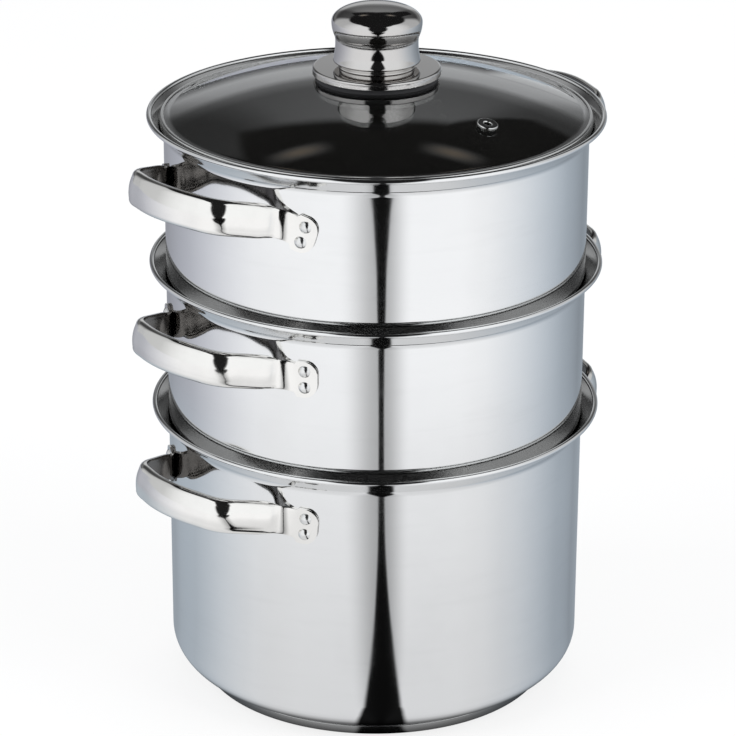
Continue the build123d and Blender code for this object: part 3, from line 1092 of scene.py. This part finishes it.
    def build(self, finishes: Finishes) -> bpy.types.Object:
        """Makes the handle.

        Args:
            finishes: The materials to choose from.

        Returns:
            The finished piece.
        """
        places = self.surface()
        columns = len(self.section(self.half_width, 1.0))
        Bench.clear()
        bpy.ops.mesh.primitive_grid_add(
            x_subdivisions=columns - 1, y_subdivisions=len(places) - 1, size=MM, calc_uvs=True
        )
        piece = bpy.context.object
        name = f"{self.tier.value}_strap_{self.side.name.lower()}"
        piece.name = piece.data.name = name
        for row, (point, across, out, half, press) in enumerate(places):
            for column, (offset, depth) in enumerate(self.section(half, press)):
                vertex = piece.data.vertices[row * columns + column]
                vertex.co = (point + across * offset + out * depth) * MM
        piece.data.update()
        Bench.only(piece)
        bpy.ops.object.mode_set(mode="EDIT")
        bpy.ops.mesh.select_all(action="SELECT")
        bpy.ops.mesh.normals_make_consistent(inside=False)
        bpy.ops.object.mode_set(mode="OBJECT")
        middle = piece.data.polygons[len(piece.data.polygons) // 2]
        if middle.normal.dot(self._outwards()) < 0:
            bpy.ops.object.mode_set(mode="EDIT")
            bpy.ops.mesh.flip_normals()
            bpy.ops.object.mode_set(mode="OBJECT")
        Bench.apply(piece, "SOLIDIFY", thickness=self.sheet * MM, offset=-1.0, use_even_offset=False)
        bevel = {"segments": 2, "limit_method": "ANGLE", "angle_limit": radians(50)}
        Bench.apply(piece, "BEVEL", width=self.cut_edge * MM, **bevel)
        self._mark_inside(piece)
        Bench.smooth(piece, 40.0)
        node = f"{self.tier.value}_handle_{self.side.name.lower()}"
        return Bench.dress(piece, finishes.strap, self.tier.value, "handle_steel", node)

    def _mark_inside(self, piece: bpy.types.Object) -> None:
        """Marks the faces of the strap's hollow side, which stays unpolished and gets painted shade, in an
        attribute.
        """
        reach = self.vessel_radius + self.hollow_depth
        middle = self._outwards() * reach + Vector((0.0, 0.0, self.root_height))
        marks = piece.data.attributes.new("hollow_side", "FLOAT", "FACE")
        for face, mark in zip(piece.data.polygons, marks.data):
            away = face.center / MM - middle
            mark.value = 1.0 if face.normal.dot(away.normalized()) < self.hollow_facing else 0.0


@dataclass
class RivetSet:
    """The four rivets of one handle, with domed heads outside and flat tails inside."""

    handle: StrapHandle
    from_bend: float = 8.4
    spacing: float = 7.0
    head_radius: float = 2.6
    head_height: float = 1.3
    shank_radius: float = 1.5
    tail_radius: float = 2.4
    tail_height: float = 0.7
    wall: float = 0.8

    def outline(self) -> list[Point]:
        """Half section of one rivet, with its head's seat at height 0."""
        sphere = (self.head_radius**2 + self.head_height**2) / (2 * self.head_height)
        spread = degrees(asin(self.head_radius / sphere))
        dome = arc((0.0, self.head_height - sphere), sphere, 90, 90 - spread, 10)
        outer = self.handle.vessel_radius + self.handle.tab_sheet
        seat = outer - sqrt((self.handle.vessel_radius - self.wall) ** 2 - self.tail_radius**2)
        rest = [
            (self.shank_radius, -PLAY),
            (self.shank_radius, -seat),
            (self.tail_radius, -seat),
            (self.tail_radius, -seat - self.tail_height * 0.6),
            (self.tail_radius - self.tail_height * 0.4, -seat - self.tail_height),
            (0.0, -seat - self.tail_height),
        ]
        return dome + rest

    def places(self) -> list[Matrix]:
        """Where each rivet sits, with its own Z axis pointing out of the wall."""
        handle = self.handle
        turn = radians(handle.twist)
        outer = handle.vessel_radius + handle.tab_sheet
        made = []
        for side in (-1, 1):
            for level in (-1, 1):
                lift = level * self.spacing / 2
                along = self.from_bend * cos(turn) + lift * sin(turn)
                rise = lift * cos(turn) - self.from_bend * sin(turn)
                azimuth = radians(handle.azimuth + side * (handle.base_angle + degrees(along / outer)))
                out = Vector((cos(azimuth), sin(azimuth), 0.0))
                middle = out * outer + Vector((0.0, 0.0, handle.root_height - handle.tab_drop + rise))
                turned = out.to_track_quat("Z", "Y").to_matrix().to_4x4()
                made.append(Matrix.Translation(middle * MM) @ turned)
        return made

    def build(self, finishes: Finishes) -> bpy.types.Object:
        """Makes the rivets of one handle.

        Args:
            finishes: The materials to choose from.

        Returns:
            The finished piece.
        """
        tier, side = self.handle.tier.value, self.handle.side.name.lower()
        piece = Bench.turned(f"{tier}_rivet_heads_{side}", self.outline(), 32)
        piece = Bench.smooth(Bench.copies(piece, self.places()), 40.0)
        return Bench.dress(piece, finishes.rivet, tier, "rivet_steel", f"{tier}_rivets_{side}")


@dataclass
class PotBase:
    """The layered base: an aluminium core and the steel cap pressed over it."""

    cap_radius: float = 77.0
    sheet: float = 0.8
    side_height: float = 4.2
    edge: float = 1.6
    height: float = 6.0
    inset: float = 1.0
    core_step: float = 0.3
    recess_radius: float = 22.0
    recess_depth: float = 0.3

    def build(self, finishes: Finishes) -> list[bpy.types.Object]:
        """Makes core and cap.

        Args:
            finishes: The materials to choose from.

        Returns:
            The two finished pieces.
        """
        core_radius = self.cap_radius - self.inset
        core = Bench.turned(
            "base_core_disc",
            rounded(
                [
                    (0.0, self.sheet, 0.0),
                    (core_radius - self.core_step, self.sheet, self.edge),
                    (core_radius - self.core_step, self.side_height, 0.0),
                    (core_radius, self.side_height + 0.25, 0.0),
                    (core_radius, self.height - PLAY, 0.25),
                    (0.0, self.height - PLAY, 0.0),
                ]
            ),
        )
        Bench.smooth(core)
        Bench.dress(core, finishes.core, Tier.POT.value, "base_aluminium", "base_core")
        lip_inner = self.cap_radius - self.sheet
        cap = Bench.turned(
            "base_cap_shell",
            rounded(
                [
                    (0.0, self.recess_depth, 0.0),
                    (self.recess_radius - 0.3, self.recess_depth, 0.2),
                    (self.recess_radius, 0.0, 0.2),
                    (self.cap_radius, 0.0, self.edge),
                    (self.cap_radius, self.side_height, 0.25),
                    (lip_inner, self.side_height, 0.15),
                    (lip_inner, self.sheet, self.edge - self.sheet),
                    (0.0, self.sheet, 0.0),
                ]
            ),
        )
        cap.data.materials.append(finishes.cap_side)
        cap.data.materials.append(finishes.cap_under)
        for face in cap.data.polygons:
            face.material_index = 1 if face.normal.z < -0.9 else 0
        Bench.smooth(cap)
        Bench.dress(cap, finishes.cap_side, Tier.POT.value, "base_steel", "base_cap")
        return [core, cap]


@dataclass
class Lid:
    """The glass dome with its steel ring and steam vent."""

    body: str = "lid"
    thickness: float = 3.5
    ring_radius: float = 91.6
    ring_sheet: float = 0.4
    ring_lip: float = 1.7
    ring_edge: float = 1.0
    ring_floor: float = 251.488
    fit: float = 0.05
    rim_width: float = 3.0
    bore: float = 3.2
    rise: float = 16.4
    dome_steps: int = 60
    vent_place: float = 63.0
    vent_azimuth: float = -86.0
    vent_bore: float = 1.6
    vent_tube: float = 2.6
    vent_flange: float = 4.4
    vent_sheet: float = 0.7

    @property
    def glass_floor(self) -> float:
        """Height of the underside of the glass's rim."""
        return self.ring_floor + self.ring_sheet

    @property
    def glass_radius(self) -> float:
        """Radius of the glass."""
        return self.ring_radius - self.ring_sheet - self.fit

    @property
    def dome_edge(self) -> float:
        """Radius at which the dome's top starts."""
        return self.glass_radius - self.rim_width

    @property
    def sphere(self) -> float:
        """Radius of the dome's outer sphere."""
        return (self.dome_edge**2 + self.rise**2) / (2 * self.rise)

    @property
    def top(self) -> float:
        """Height of the top of the glass."""
        return self.glass_floor + self.thickness + self.rise

    @property
    def centre(self) -> float:
        """Height of the spheres' centre."""
        return self.top - self.sphere

    def dome(self, sphere: float, start: float, end: float, steps: int) -> list[Point]:
        """Points on one of the dome's spheres between two distances from the axis."""
        return [
            (r, self.centre + sqrt(sphere**2 - r**2))
            for r in (start + (end - start) * step / steps for step in range(steps + 1))
        ]

    def vent_matrix(self) -> Matrix:
        """Place of the vent, on the dome's outer face with Z along its normal."""
        share = self.vent_place / self.sphere
        angle = radians(self.vent_azimuth)
        normal = Vector((cos(angle) * share, sin(angle) * share, sqrt(1 - share**2)))
        middle = (Vector((0.0, 0.0, self.centre)) + normal * self.sphere) * MM
        return Matrix.Translation(middle) @ normal.to_track_quat("Z", "Y").to_matrix().to_4x4()

    def build(self, finishes: Finishes) -> list[bpy.types.Object]:
        """Makes glass, ring and vent.

        Args:
            finishes: The materials to choose from.

        Returns:
            The finished pieces.
        """
        inner = self.sphere - self.thickness
        rim_top = self.glass_floor + self.thickness
        under_edge = sqrt(inner**2 - (self.glass_floor - self.centre) ** 2)
        edge = rounded(
            [
                (self.dome_edge, rim_top, 0.0),
                (self.glass_radius, rim_top, 1.0),
                (self.glass_radius, self.glass_floor, 1.0),
                (under_edge, self.glass_floor, 0.0),
            ]
        )
        over = self.dome(self.sphere, self.bore, self.dome_edge, self.dome_steps)[:-1]
        under = self.dome(inner, under_edge, self.bore, self.dome_steps)[1:]
        glass = Bench.turned("lid_glass_dome", over + edge + under)
        Bench.bore(glass, self.vent_tube + 0.1, 4 * self.thickness, [self.vent_matrix()], 32)
        Bench.smooth(glass)
        Bench.dress(glass, finishes.glass, self.body, "lid_glass", "lid_glass")

        top = self.ring_floor + self.thickness + 2 * self.ring_sheet
        lip = self.ring_radius - self.ring_lip
        channel = self.ring_radius - self.ring_sheet
        ring = Bench.turned(
            "lid_edge_ring",
            rounded(
                [
                    (lip, self.ring_floor, 0.15),
                    (self.ring_radius, self.ring_floor, self.ring_edge),
                    (self.ring_radius, top, self.ring_edge),
                    (lip, top, 0.15),
                    (lip, top - self.ring_sheet, 0.0),
                    (channel, top - self.ring_sheet, self.ring_edge - self.ring_sheet),
                    (channel, self.ring_floor + self.ring_sheet, self.ring_edge - self.ring_sheet),
                    (lip, self.ring_floor + self.ring_sheet, 0.0),
                ],
                support=0.05,
            ),
        )
        Bench.smooth(ring)
        Bench.dress(ring, finishes.ring, self.body, "lid_steel", "lid_rim_ring")

        seat = self.sphere - sqrt(inner**2 - self.vent_flange**2)
        vent = Bench.turned(
            "lid_vent_ring",
            rounded(
                [
                    (self.vent_bore, self.vent_sheet, 0.6),
                    (self.vent_flange, self.vent_sheet, 0.5),
                    (self.vent_flange, 0.03, 0.1),
                    (self.vent_tube, 0.03, 0.0),
                    (self.vent_tube, -seat, 0.0),
                    (self.vent_flange, -seat, 0.1),
                    (self.vent_flange, -seat - self.vent_sheet, 0.4),
                    (self.vent_bore, -seat - self.vent_sheet, 0.5),
                ],
                support=0.05,
            ),
            48,
        )
        Bench.settle(vent, self.vent_matrix())
        Bench.smooth(vent)
        Bench.dress(vent, finishes.ring, self.body, "lid_steel", "lid_vent_eyelet")
        return [glass, ring, vent]


@dataclass
class Knob:
    """The polished knob on its pressed flange."""

    glass_top: float
    body: str = "lid"
    flange_radius: float = 27.1
    flange_height: float = 3.0
    flange_sheet: float = 1.0
    flange_edge: float = 0.9
    flange_lift: float = 0.8
    neck_radius: float = 15.9
    neck_height: float = 2.3
    neck_edge: float = 0.6
    foot_radius: float = 18.4
    foot_edge: float = 0.8
    waist: Point = (17.5, 6.6)
    shoulder: Point = (17.6, 10.6)
    cheek: Point = (18.7, 13.6)
    bulge: Point = (19.1, 16.8)
    brow: Point = (16.2, 21.2)
    height: float = 24.5
    sheet: float = 1.0
    bore: float = 2.1

    def profile(self) -> list[Point]:
        """Outer profile of the knob from the edge of its foot to its top, from its floor up."""
        foot = (self.foot_radius, self.foot_edge)
        waist = self._through([foot, self.waist, self.shoulder], 16)
        cheek = self._through([self.shoulder, self.cheek, self.bulge], 10)
        crown = self._crown(self.bulge, self.brow, self.height, 26)
        return waist + cheek[1:] + crown[1:]

    @staticmethod
    def _through(points: Sequence[Point], steps: int) -> list[Point]:
        """Points on the circle through three points.

        Args:
            points: Start, middle and end.
            steps: How many parts the arc has.

        Returns:
            The points, both ends among them.
        """
        (ax, ay), (bx, by), (cx, cy) = points
        d = 2 * (ax * (by - cy) + bx * (cy - ay) + cx * (ay - by))
        ux = ((ax**2 + ay**2) * (by - cy) + (bx**2 + by**2) * (cy - ay) + (cx**2 + cy**2) * (ay - by)) / d
        uy = ((ax**2 + ay**2) * (cx - bx) + (bx**2 + by**2) * (ax - cx) + (cx**2 + cy**2) * (bx - ax)) / d
        start = degrees(atan2(ay - uy, ax - ux))
        end = degrees(atan2(cy - uy, cx - ux))
        if end - start > 180:
            end -= 360
        if start - end > 180:
            end += 360
        return arc((ux, uy), sqrt((ax - ux) ** 2 + (ay - uy) ** 2), start, end, steps)

    @staticmethod
    def _crown(cheek: Point, brow: Point, top: float, steps: int) -> list[Point]:
        """Smooth crown from the widest place over the brow to the top.

        Args:
            cheek: Widest place, where the profile is upright.
            brow: A place that it passes.
            top: Its height on the axis, where it is level.
            steps: How many parts it has.

        Returns:
            The points.
        """
        rise = top - cheek[1]
        power = 2.0
        for _ in range(40):
            inner = (brow[0] / cheek[0]) ** power
            outer = ((brow[1] - cheek[1]) / rise) ** power
            power += 0.4 * (inner + outer - 1.0)
        made = []
        for step in range(steps + 1):
            angle = (pi / 2) * step / steps
            reach = cheek[0] * max(0.0, cos(angle)) ** (2 / power)
            made.append((reach, cheek[1] + rise * sin(angle) ** (2 / power)))
        made[-1] = (0.0, top)
        return made

    def build(self, finishes: Finishes) -> list[bpy.types.Object]:
        """Makes flange and knob.

        Args:
            finishes: The materials to choose from.

        Returns:
            The finished pieces.
        """
        flange_floor = self.glass_top + self.flange_lift
        flange_top = flange_floor + self.flange_height
        floor = flange_top + self.neck_height
        inner_top = flange_top - self.flange_sheet
        flange = Bench.turned(
            "knob_flange_disc",
            rounded(
                [
                    (self.bore, floor - PLAY, 0.0),
                    (self.neck_radius, floor - PLAY, self.neck_edge),
                    (self.neck_radius, flange_top, self.neck_edge),
                    (self.flange_radius, flange_top, self.flange_edge),
                    (self.flange_radius, flange_floor, 0.15),
                    (self.flange_radius - self.flange_sheet, flange_floor, 0.1),
                    (self.flange_radius - self.flange_sheet, inner_top, 0.0),
                    (self.neck_radius - self.flange_sheet, inner_top, 0.0),
                    (self.neck_radius - self.flange_sheet, floor - self.flange_sheet, 0.0),
                    (self.bore, floor - self.flange_sheet, 0.0),
                ]
            ),
        )
        Bench.smooth(flange)
        Bench.dress(flange, finishes.knob, self.body, "knob_steel", "knob_flange")

        outer = self.profile()
        inner = self._hollow(outer)
        foot = rounded(
            [(self.bore, 0.0, 0.0), (self.foot_radius, 0.0, self.foot_edge), (*outer[0], 0.0)], support=0.05
        )[:-1]
        shell_outline = [(r, z + floor) for r, z in foot + outer + inner]
        knob = Bench.turned("knob_hollow_shell", shell_outline, 160)
        Bench.smooth(knob, 50.0)
        Bench.dress(knob, finishes.knob, self.body, "knob_steel", "knob_shell")
        return [flange, knob]

    def _hollow(self, outer: Sequence[Point]) -> list[Point]:
        """Inner profile, from the top down to the floor and in to the screw's bore."""
        made = []
        for index in range(len(outer) - 1, 0, -1):
            before = Vector(outer[index - 1])
            here = Vector(outer[index])
            after = Vector(outer[min(index + 1, len(outer) - 1)])
            slope = (after - before).normalized()
            normal = Vector((slope.y, -slope.x)) if index < len(outer) - 1 else Vector((0.0, 1.0))
            point = here - normal * self.sheet
            if not made or point.y < made[-1][1] - 0.02:
                made.append((max(0.0, point.x), point.y))
        made[0] = (0.0, made[0][1])
        made.append((self.foot_radius - self.sheet, self.sheet))
        made.append((self.bore, self.sheet))
        return made


# Studio


@dataclass(frozen=True)
class Lamp:
    """A soft lamp: its place round the pot and size in metres, and its power in watts."""

    name: str
    azimuth: float
    distance: float
    height: float
    size: tuple[float, float]
    power: float


@dataclass
class Studio:
    """Pale floor, soft lamps, surroundings and the camera at the photograph's place.

    Each table gives a value by place. On the floor a place is a distance from the pot's axis in
    metres or a bearing in radians. In the surroundings it is a part of the direction, -1 to 1.
    """

    camera_place: Corner = (-0.8580, -0.9529, 0.6468)
    heading: float = 42.0
    pitch: float = 21.604
    yaw_offset: float = 0.14
    roll: float = 0.25
    lens: float = 154.8
    aim_height: float = 0.15
    dim: float = 0.012
    gap_bearing: float = 0.044
    tent_gap_bearing: float = 0.045
    gap_fade: tuple[float, float, float, float] = (0.85, 1.15, 1.0, 0.0)
    gap_depth: float = 0.99
    floor_gain: float = 1.045
    floor_behind: float = 0.46
    warm_strength: float = 0.32
    warm_side: float = 0.25
    warm_half_width: float = 0.13
    warm_rise: float = 0.755
    warm_half_height: float = 0.035
    floor_left_near: Colour = (0.89, 1.0, 1.12)
    floor_left_far: Colour = (0.9, 0.93, 1.04)
    floor_right: Colour = (0.885, 1.0, 1.13)
    floor_ahead: Colour = (0.99, 1.0, 1.02)
    paint: Colour = (0.86, 0.86, 0.86)
    tent_colour: Colour = (0.98, 1.0, 1.02)
    warm_colour: Colour = (1.0, 0.84, 0.66)
    room_colour: Colour = (0.55, 0.56, 0.58)
    through_colour: Colour = (0.03, 0.028, 0.026)
    gap_shift: Table = ((0.09, 0.0), (0.12, 0.0013), (0.166, 0.0035), (0.2, 0.0045), (1.0, 0.0045))
    gap_half: Table = (
        *((0.09, 0.0112), (0.12, 0.0143), (0.145, 0.0158), (0.19, 0.0148), (0.235, 0.0122)),
        *((0.302, 0.0086), (0.392, 0.0092), (0.471, 0.0107), (0.571, 0.0158), (0.617, 0.023)),
        *((0.69, 0.0293), (0.8, 0.06), (0.9, 0.12), (1.1, 0.23), (1.5, 0.4), (2.5, 0.75), (5.0, 1.5)),
    )
    contact_shadow: Table = ((0.077, 0.16), (0.081, 0.25), (0.085, 0.6), (0.09, 0.92), (0.096, 1.0))
    side_light: Table = (
        *((-1.6, 0.34), (-1.4, 0.34), (-1.25, 0.42), (-1.06, 0.53), (-0.93, 0.64), (-0.8, 0.77)),
        *((-0.7, 0.87), (-0.6, 0.95), (-0.35, 1.0), (0.4, 1.0), (0.54, 0.95), (0.72, 0.8)),
        *((0.95, 0.58), (1.1, 0.44), (1.33, 0.29), (1.6, 0.34)),
    )
    tent_light: Table = (
        *((-1.0, 1.0), (-0.98, 0.95), (-0.955, 0.6), (-0.9, 0.55), (-0.1, 0.62), (0.2, 0.85)),
        *((0.5, 1.02), (1.0, 1.05)),
    )
    tent_edge: Table = (
        *((-1.0, 0.655), (-0.985, 0.62), (-0.957, 0.57), (-0.92, 0.72), (-0.4, 0.76), (0.1, 0.82)),
        *((0.4, 0.85), (0.8, 0.8), (0.97, 0.7), (1.0, 0.6)),
    )
    far_light: Table = (
        *((-0.1, 0.02), (0.0, 0.08), (0.06, 0.3), (0.12, 0.58), (0.24, 0.6), (0.3, 0.26)),
        *((0.38, 0.155), (0.45, 0.18), (0.65, 0.28)),
    )
    aside_share: Table = (
        *((0.5, 0.0), (0.65, 0.05), (0.78, 0.2), (0.91, 0.3), (1.06, 0.42), (1.27, 1.0), (1.6, 1.0)),
    )
    aside_light: Table = ((0.1, 0.38), (0.27, 0.36), (0.42, 0.06), (0.5, 0.0), (3.0, 0.0))
    far_edge: Table = (
        *((-0.6, 0.72), (-0.385, 0.7), (-0.31, 0.58), (-0.175, 0.62), (0.0, 0.655), (0.175, 0.62)),
        *((0.24, 0.52), (0.28, 0.44), (0.42, 0.44), (0.48, 0.7), (0.6, 0.75)),
    )
    far_sides: Table = (
        *((-0.6, 0.5), (-0.3, 0.42), (-0.25, 0.62), (-0.2, 0.88), (-0.1, 1.0), (0.2, 1.0)),
        *((0.25, 0.64), (0.6, 0.6)),
    )
    camera_gap: Table = ((-0.1, 0.1), (0.0, 0.2), (0.12, 0.3), (0.3, 0.38), (0.6, 0.46), (0.8, 0.46))
    lamps: tuple[Lamp, ...] = (
        Lamp("soft_lamp_left", -65.0, 1.7, 1.6, (1.4, 1.0), 26.0),
        Lamp("soft_lamp_right", 60.0, 1.7, 1.6, (1.4, 1.0), 26.0),
        Lamp("soft_lamp_back", 170.0, 1.8, 1.9, (1.6, 0.8), 16.0),
    )

    def build_camera(self) -> bpy.types.Object:
        """Puts the camera where the photograph was taken from."""
        data = bpy.data.cameras.new("camera")
        data.lens = self.lens
        data.sensor_width = 36.0
        data.clip_start, data.clip_end = 0.05, 50.0
        camera = bpy.data.objects.new("camera", data)
        bpy.context.scene.collection.objects.link(camera)
        turn = Matrix.Rotation(radians(-self.heading + self.yaw_offset), 4, "Z")
        tip = Matrix.Rotation(radians(90 - self.pitch), 4, "X")
        roll = Matrix.Rotation(radians(self.roll), 4, "Z")
        camera.matrix_world = Matrix.Translation(self.camera_place) @ turn @ tip @ roll
        bpy.context.scene.camera = camera
        return camera

    @staticmethod
    def _rays(recipe: Recipe) -> tuple[Signal, Signal, Signal]:
        """Camera, mirrored and transmitted rays, as signals of 0 or 1."""
        path = recipe.node("ShaderNodeLightPath", {}, {}).socket.node
        names = ("Is Camera Ray", "Is Glossy Ray", "Is Transmission Ray")
        return tuple(Signal(recipe, path.outputs[name]) for name in names)

    def _bearings(self, x: Signal, y: Signal, length: Signal) -> tuple[Signal, Signal]:
        """Shares of a level direction that point to the camera and to its right.

        Args:
            x: The direction along X.
            y: The direction along Y.
            length: Its length.

        Returns:
            Both shares, from -1 to 1.
        """
        towards = radians(-90 - self.heading)
        right = radians(-self.heading)
        return (x * cos(towards) + y * sin(towards)) / length, (x * cos(right) + y * sin(right)) / length

    def _floor_level(
        self, recipe: Recipe, distance: Signal, facing: Signal, sideways: Signal, turn: Signal
    ) -> Signal:
        """How bright the floor is to metal.

        Args:
            recipe: The floor's material in the making.
            distance: Distance from the pot's axis.
            facing: Share of the direction that points to the camera.
            sideways: Share of the direction that points to the camera's right.
            turn: Bearing from the camera's side.

        Returns:
            The strength of the light.
        """
        shadow = recipe.table(distance, 0.07, 0.11, self.contact_shadow)
        near = distance.spread(0.08, 0.62, 0.74, 1.0) * shadow
        shift = recipe.table(distance, 0.0, 1.0, self.gap_shift)
        across = (sideways - self.gap_bearing) * distance - shift
        half = recipe.table(distance, 0.0, 5.0, self.gap_half)
        gap = (abs(across) / half).spread(*self.gap_fade) * facing.spread(0.3, 0.5)
        angle = across / (distance - 0.075)
        left = (0.0 - angle).spread(0.03, 0.42, 0.5, 1.0)
        beside = left.at_least(angle.spread(0.03, 0.3, 0.5, 1.0)).at_least(facing.spread(0.5, 0.2))
        aside = recipe.table(abs(turn), 0.0, 1.6, self.aside_share)
        level = recipe.table(turn, -1.6, 1.6, self.side_light) * self.floor_gain
        level = level * (1.0 + aside * recipe.table(distance, 0.0, 3.0, self.aside_light))
        level = level.at_least(facing.spread(-0.85, -1.0) * self.floor_behind)
        return level * near * beside * (1.0 - gap * self.gap_depth)

    def build_floor(self) -> bpy.types.Object:
        """A pale floor that metal sees as two lit tables with a dark gap towards the camera."""
        Bench.clear()
        bpy.ops.mesh.primitive_plane_add(size=14.0, location=(0, 0, -0.0002))
        floor = bpy.context.object
        floor.name = "studio_floor"
        recipe = Recipe(bpy.data.materials.new("studio_floor"))
        x, y, _ = recipe.axes(recipe.coordinates())
        distance = recipe.reach(x, y)
        facing, sideways = self._bearings(x, y, distance)
        turn = sideways.angle_from(facing) / (2.0 - 0.08 / distance.at_least(0.06))
        level = self._floor_level(recipe, distance, facing, sideways, turn)
        left_tint = recipe.blend(distance.spread(0.28, 0.45), self.floor_left_near, self.floor_left_far)
        side_tint = recipe.blend(turn.spread(-0.1, 0.1), left_tint, self.floor_right)
        tint = recipe.blend(abs(turn).spread(0.45, 1.2), self.floor_ahead, side_tint)
        camera, glossy, through = self._rays(recipe)
        seen_by_metal = recipe.light("ShaderNodeEmission", tint, level)
        seen_by_camera = recipe.light("ShaderNodeEmission", WHITE)
        painted = recipe.node("ShaderNodeBsdfDiffuse", {}, {"Color": (*self.paint, 1.0)})
        glow = recipe.mix(camera, seen_by_metal, seen_by_camera)
        share = (camera * 0.8).at_least(glossy.at_least(through))
        recipe.node_output("ShaderNodeOutputMaterial", recipe.mix(share, painted, glow))
        floor.data.materials.append(recipe.owner)
        return floor

    def build_world(self) -> None:
        """Surroundings: white to the camera, and to metal a white tent with dark openings."""
        world = bpy.data.worlds.new("studio_world")
        bpy.context.scene.world = world
        recipe = Recipe(world)
        x, y, rise = recipe.axes(recipe.coordinates("Generated"))
        flat = (1.0 - rise * rise).at_least(0.0004) ** 0.5
        facing, sideways = self._bearings(x, y, flat)
        tent = recipe.table(facing, -1.0, 1.0, self.tent_light)
        edge = recipe.table(facing, -1.0, 1.0, self.tent_edge)
        far_edge = recipe.table(sideways, -0.6, 0.6, self.far_edge)
        edge = edge + (far_edge - edge) * facing.spread(-0.8, -0.9)
        low_right = sideways.spread(0.08, 0.12) * rise.spread(0.08, 0.16, 0.62, 0.0)
        far_sides = recipe.table(sideways, -0.6, 0.6, self.far_sides)
        far = recipe.table(rise, -0.1, 0.65, self.far_light) * far_sides
        tent = tent * far.at_least(low_right).at_least(facing.spread(-0.85, -0.6))
        below_edge = (rise - edge).spread(-0.03, 0.03, 1.0, 0.0)
        gap = abs(sideways - self.tent_gap_bearing) / recipe.table(rise, -0.1, 0.8, self.camera_gap)
        gap = gap.spread(*self.gap_fade) * facing.spread(0.0, 0.1)
        warm = abs(abs(sideways) - self.warm_side).spread(0.0, self.warm_half_width, 1.0, 0.0)
        warm = warm * abs(rise - self.warm_rise).spread(0.0, self.warm_half_height, 1.0, 0.0)
        warm = warm * facing.spread(-0.5, -0.8)
        mirrored = tent * below_edge * (1.0 - gap) + self.dim + warm * self.warm_strength
        colour = recipe.blend(warm, self.tent_colour, self.warm_colour)
        camera, glossy, through = self._rays(recipe)
        plain = recipe.light("ShaderNodeBackground", self.room_colour)
        tented = recipe.light("ShaderNodeBackground", colour, mirrored)
        inner = recipe.light("ShaderNodeBackground", self.through_colour)
        white = recipe.light("ShaderNodeBackground", WHITE)
        seen = recipe.mix(through, recipe.mix(glossy, plain, tented), inner)
        recipe.node_output("ShaderNodeOutputWorld", recipe.mix(camera, seen, white))

    def build_lamp(self, lamp: Lamp) -> bpy.types.Object:
        """Hangs a soft lamp that points at the pot, and that metal and glass don't show.

        Args:
            lamp: The lamp, with its azimuth measured from the camera's side.

        Returns:
            The lamp's object.
        """
        data = bpy.data.lights.new(lamp.name, "AREA")
        data.shape = "RECTANGLE"
        data.size, data.size_y = lamp.size
        data.energy = lamp.power
        hung = bpy.data.objects.new(lamp.name, data)
        bpy.context.scene.collection.objects.link(hung)
        angle = radians(-90 - self.heading + lamp.azimuth)
        place = Vector((lamp.distance * cos(angle), lamp.distance * sin(angle), lamp.height))
        aim = Vector((0.0, 0.0, self.aim_height)) - place
        hung.matrix_world = Matrix.Translation(place) @ aim.to_track_quat("-Z", "Y").to_matrix().to_4x4()
        hung.visible_glossy = False
        hung.visible_transmission = False
        return hung

    def build(self) -> None:
        """Sets up the whole studio."""
        self.build_floor()
        self.build_world()
        for lamp in self.lamps:
            self.build_lamp(lamp)
        self.build_camera()
        bpy.context.scene.view_settings.view_transform = "Standard"


# Assembly


@dataclass
class SteamerPot:
    """The whole steamer pot, built piece by piece over the CAD nodes."""

    finishes: Finishes = field(default_factory=Finishes)
    tilts: dict[Side, float] = field(default_factory=lambda: {Side.LEFT: 12.0, Side.RIGHT: 16.0})
    # Tier, CAD node, floor, lip, corner radius, slant of the tabs, whether it has steam holes
    tiers: tuple[tuple[Tier, str, float, float, float, float, bool], ...] = (
        (Tier.POT, "pot_shell", 6.0, 125.8, 14.0, 5.0, False),
        (Tier.LOWER, "lower_steamer_basket", 111.429, 190.729, 12.0, 0.0, True),
        (Tier.UPPER, "upper_steamer_basket", 176.358, 255.658, 12.0, 18.0, True),
    )

    def build(self) -> None:
        """Builds every piece and gives the CAD nodes that stay their materials."""
        PotBase().build(self.finishes)
        for tier, node, floor, lip, corner, twist, perforated in self.tiers:
            Vessel(tier, node, floor, lip, corner, perforated).build(self.finishes)
            for side in Side:
                handle = StrapHandle(tier, side, lip, twist, tilt=self.tilts[side])
                handle.build(self.finishes)
                RivetSet(handle).build(self.finishes)
        lid = Lid()
        lid.build(self.finishes)
        Knob(lid.top).build(self.finishes)
        self._dress_cad_nodes()

    def _dress_cad_nodes(self) -> None:
        """Gives each CAD node a procedural material, also those that another piece stands for."""
        chosen = {
            "base_core": self.finishes.core,
            "base_cap": self.finishes.cap_side,
            "lid_glass": self.finishes.glass,
            "lid_rim_ring": self.finishes.ring,
            "lid_vent_eyelet": self.finishes.ring,
            "knob_gasket": self.finishes.silicone,
            "under_gasket": self.finishes.silicone,
            "under_washer": self.finishes.ring,
            "knob_flange": self.finishes.knob,
            "knob_shell": self.finishes.knob,
            "knob_core": self.finishes.core,
            "knob_screw": self.finishes.screw,
        }
        for name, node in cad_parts.items():
            material = chosen.get(name, self.finishes.mirror)
            if "handle" in name or "rivets" in name:
                material = self.finishes.rivet
            node.data.materials.clear()
            node.data.materials.append(material)
            log.info("CAD node %s wears %s", name, material.name)


def main() -> None:
    """Builds the studio and the pot."""
    logging.basicConfig(level=logging.INFO, format="%(name)s: %(message)s")
    Studio().build()
    SteamerPot().build()


if __name__ == "__main__":
    main()
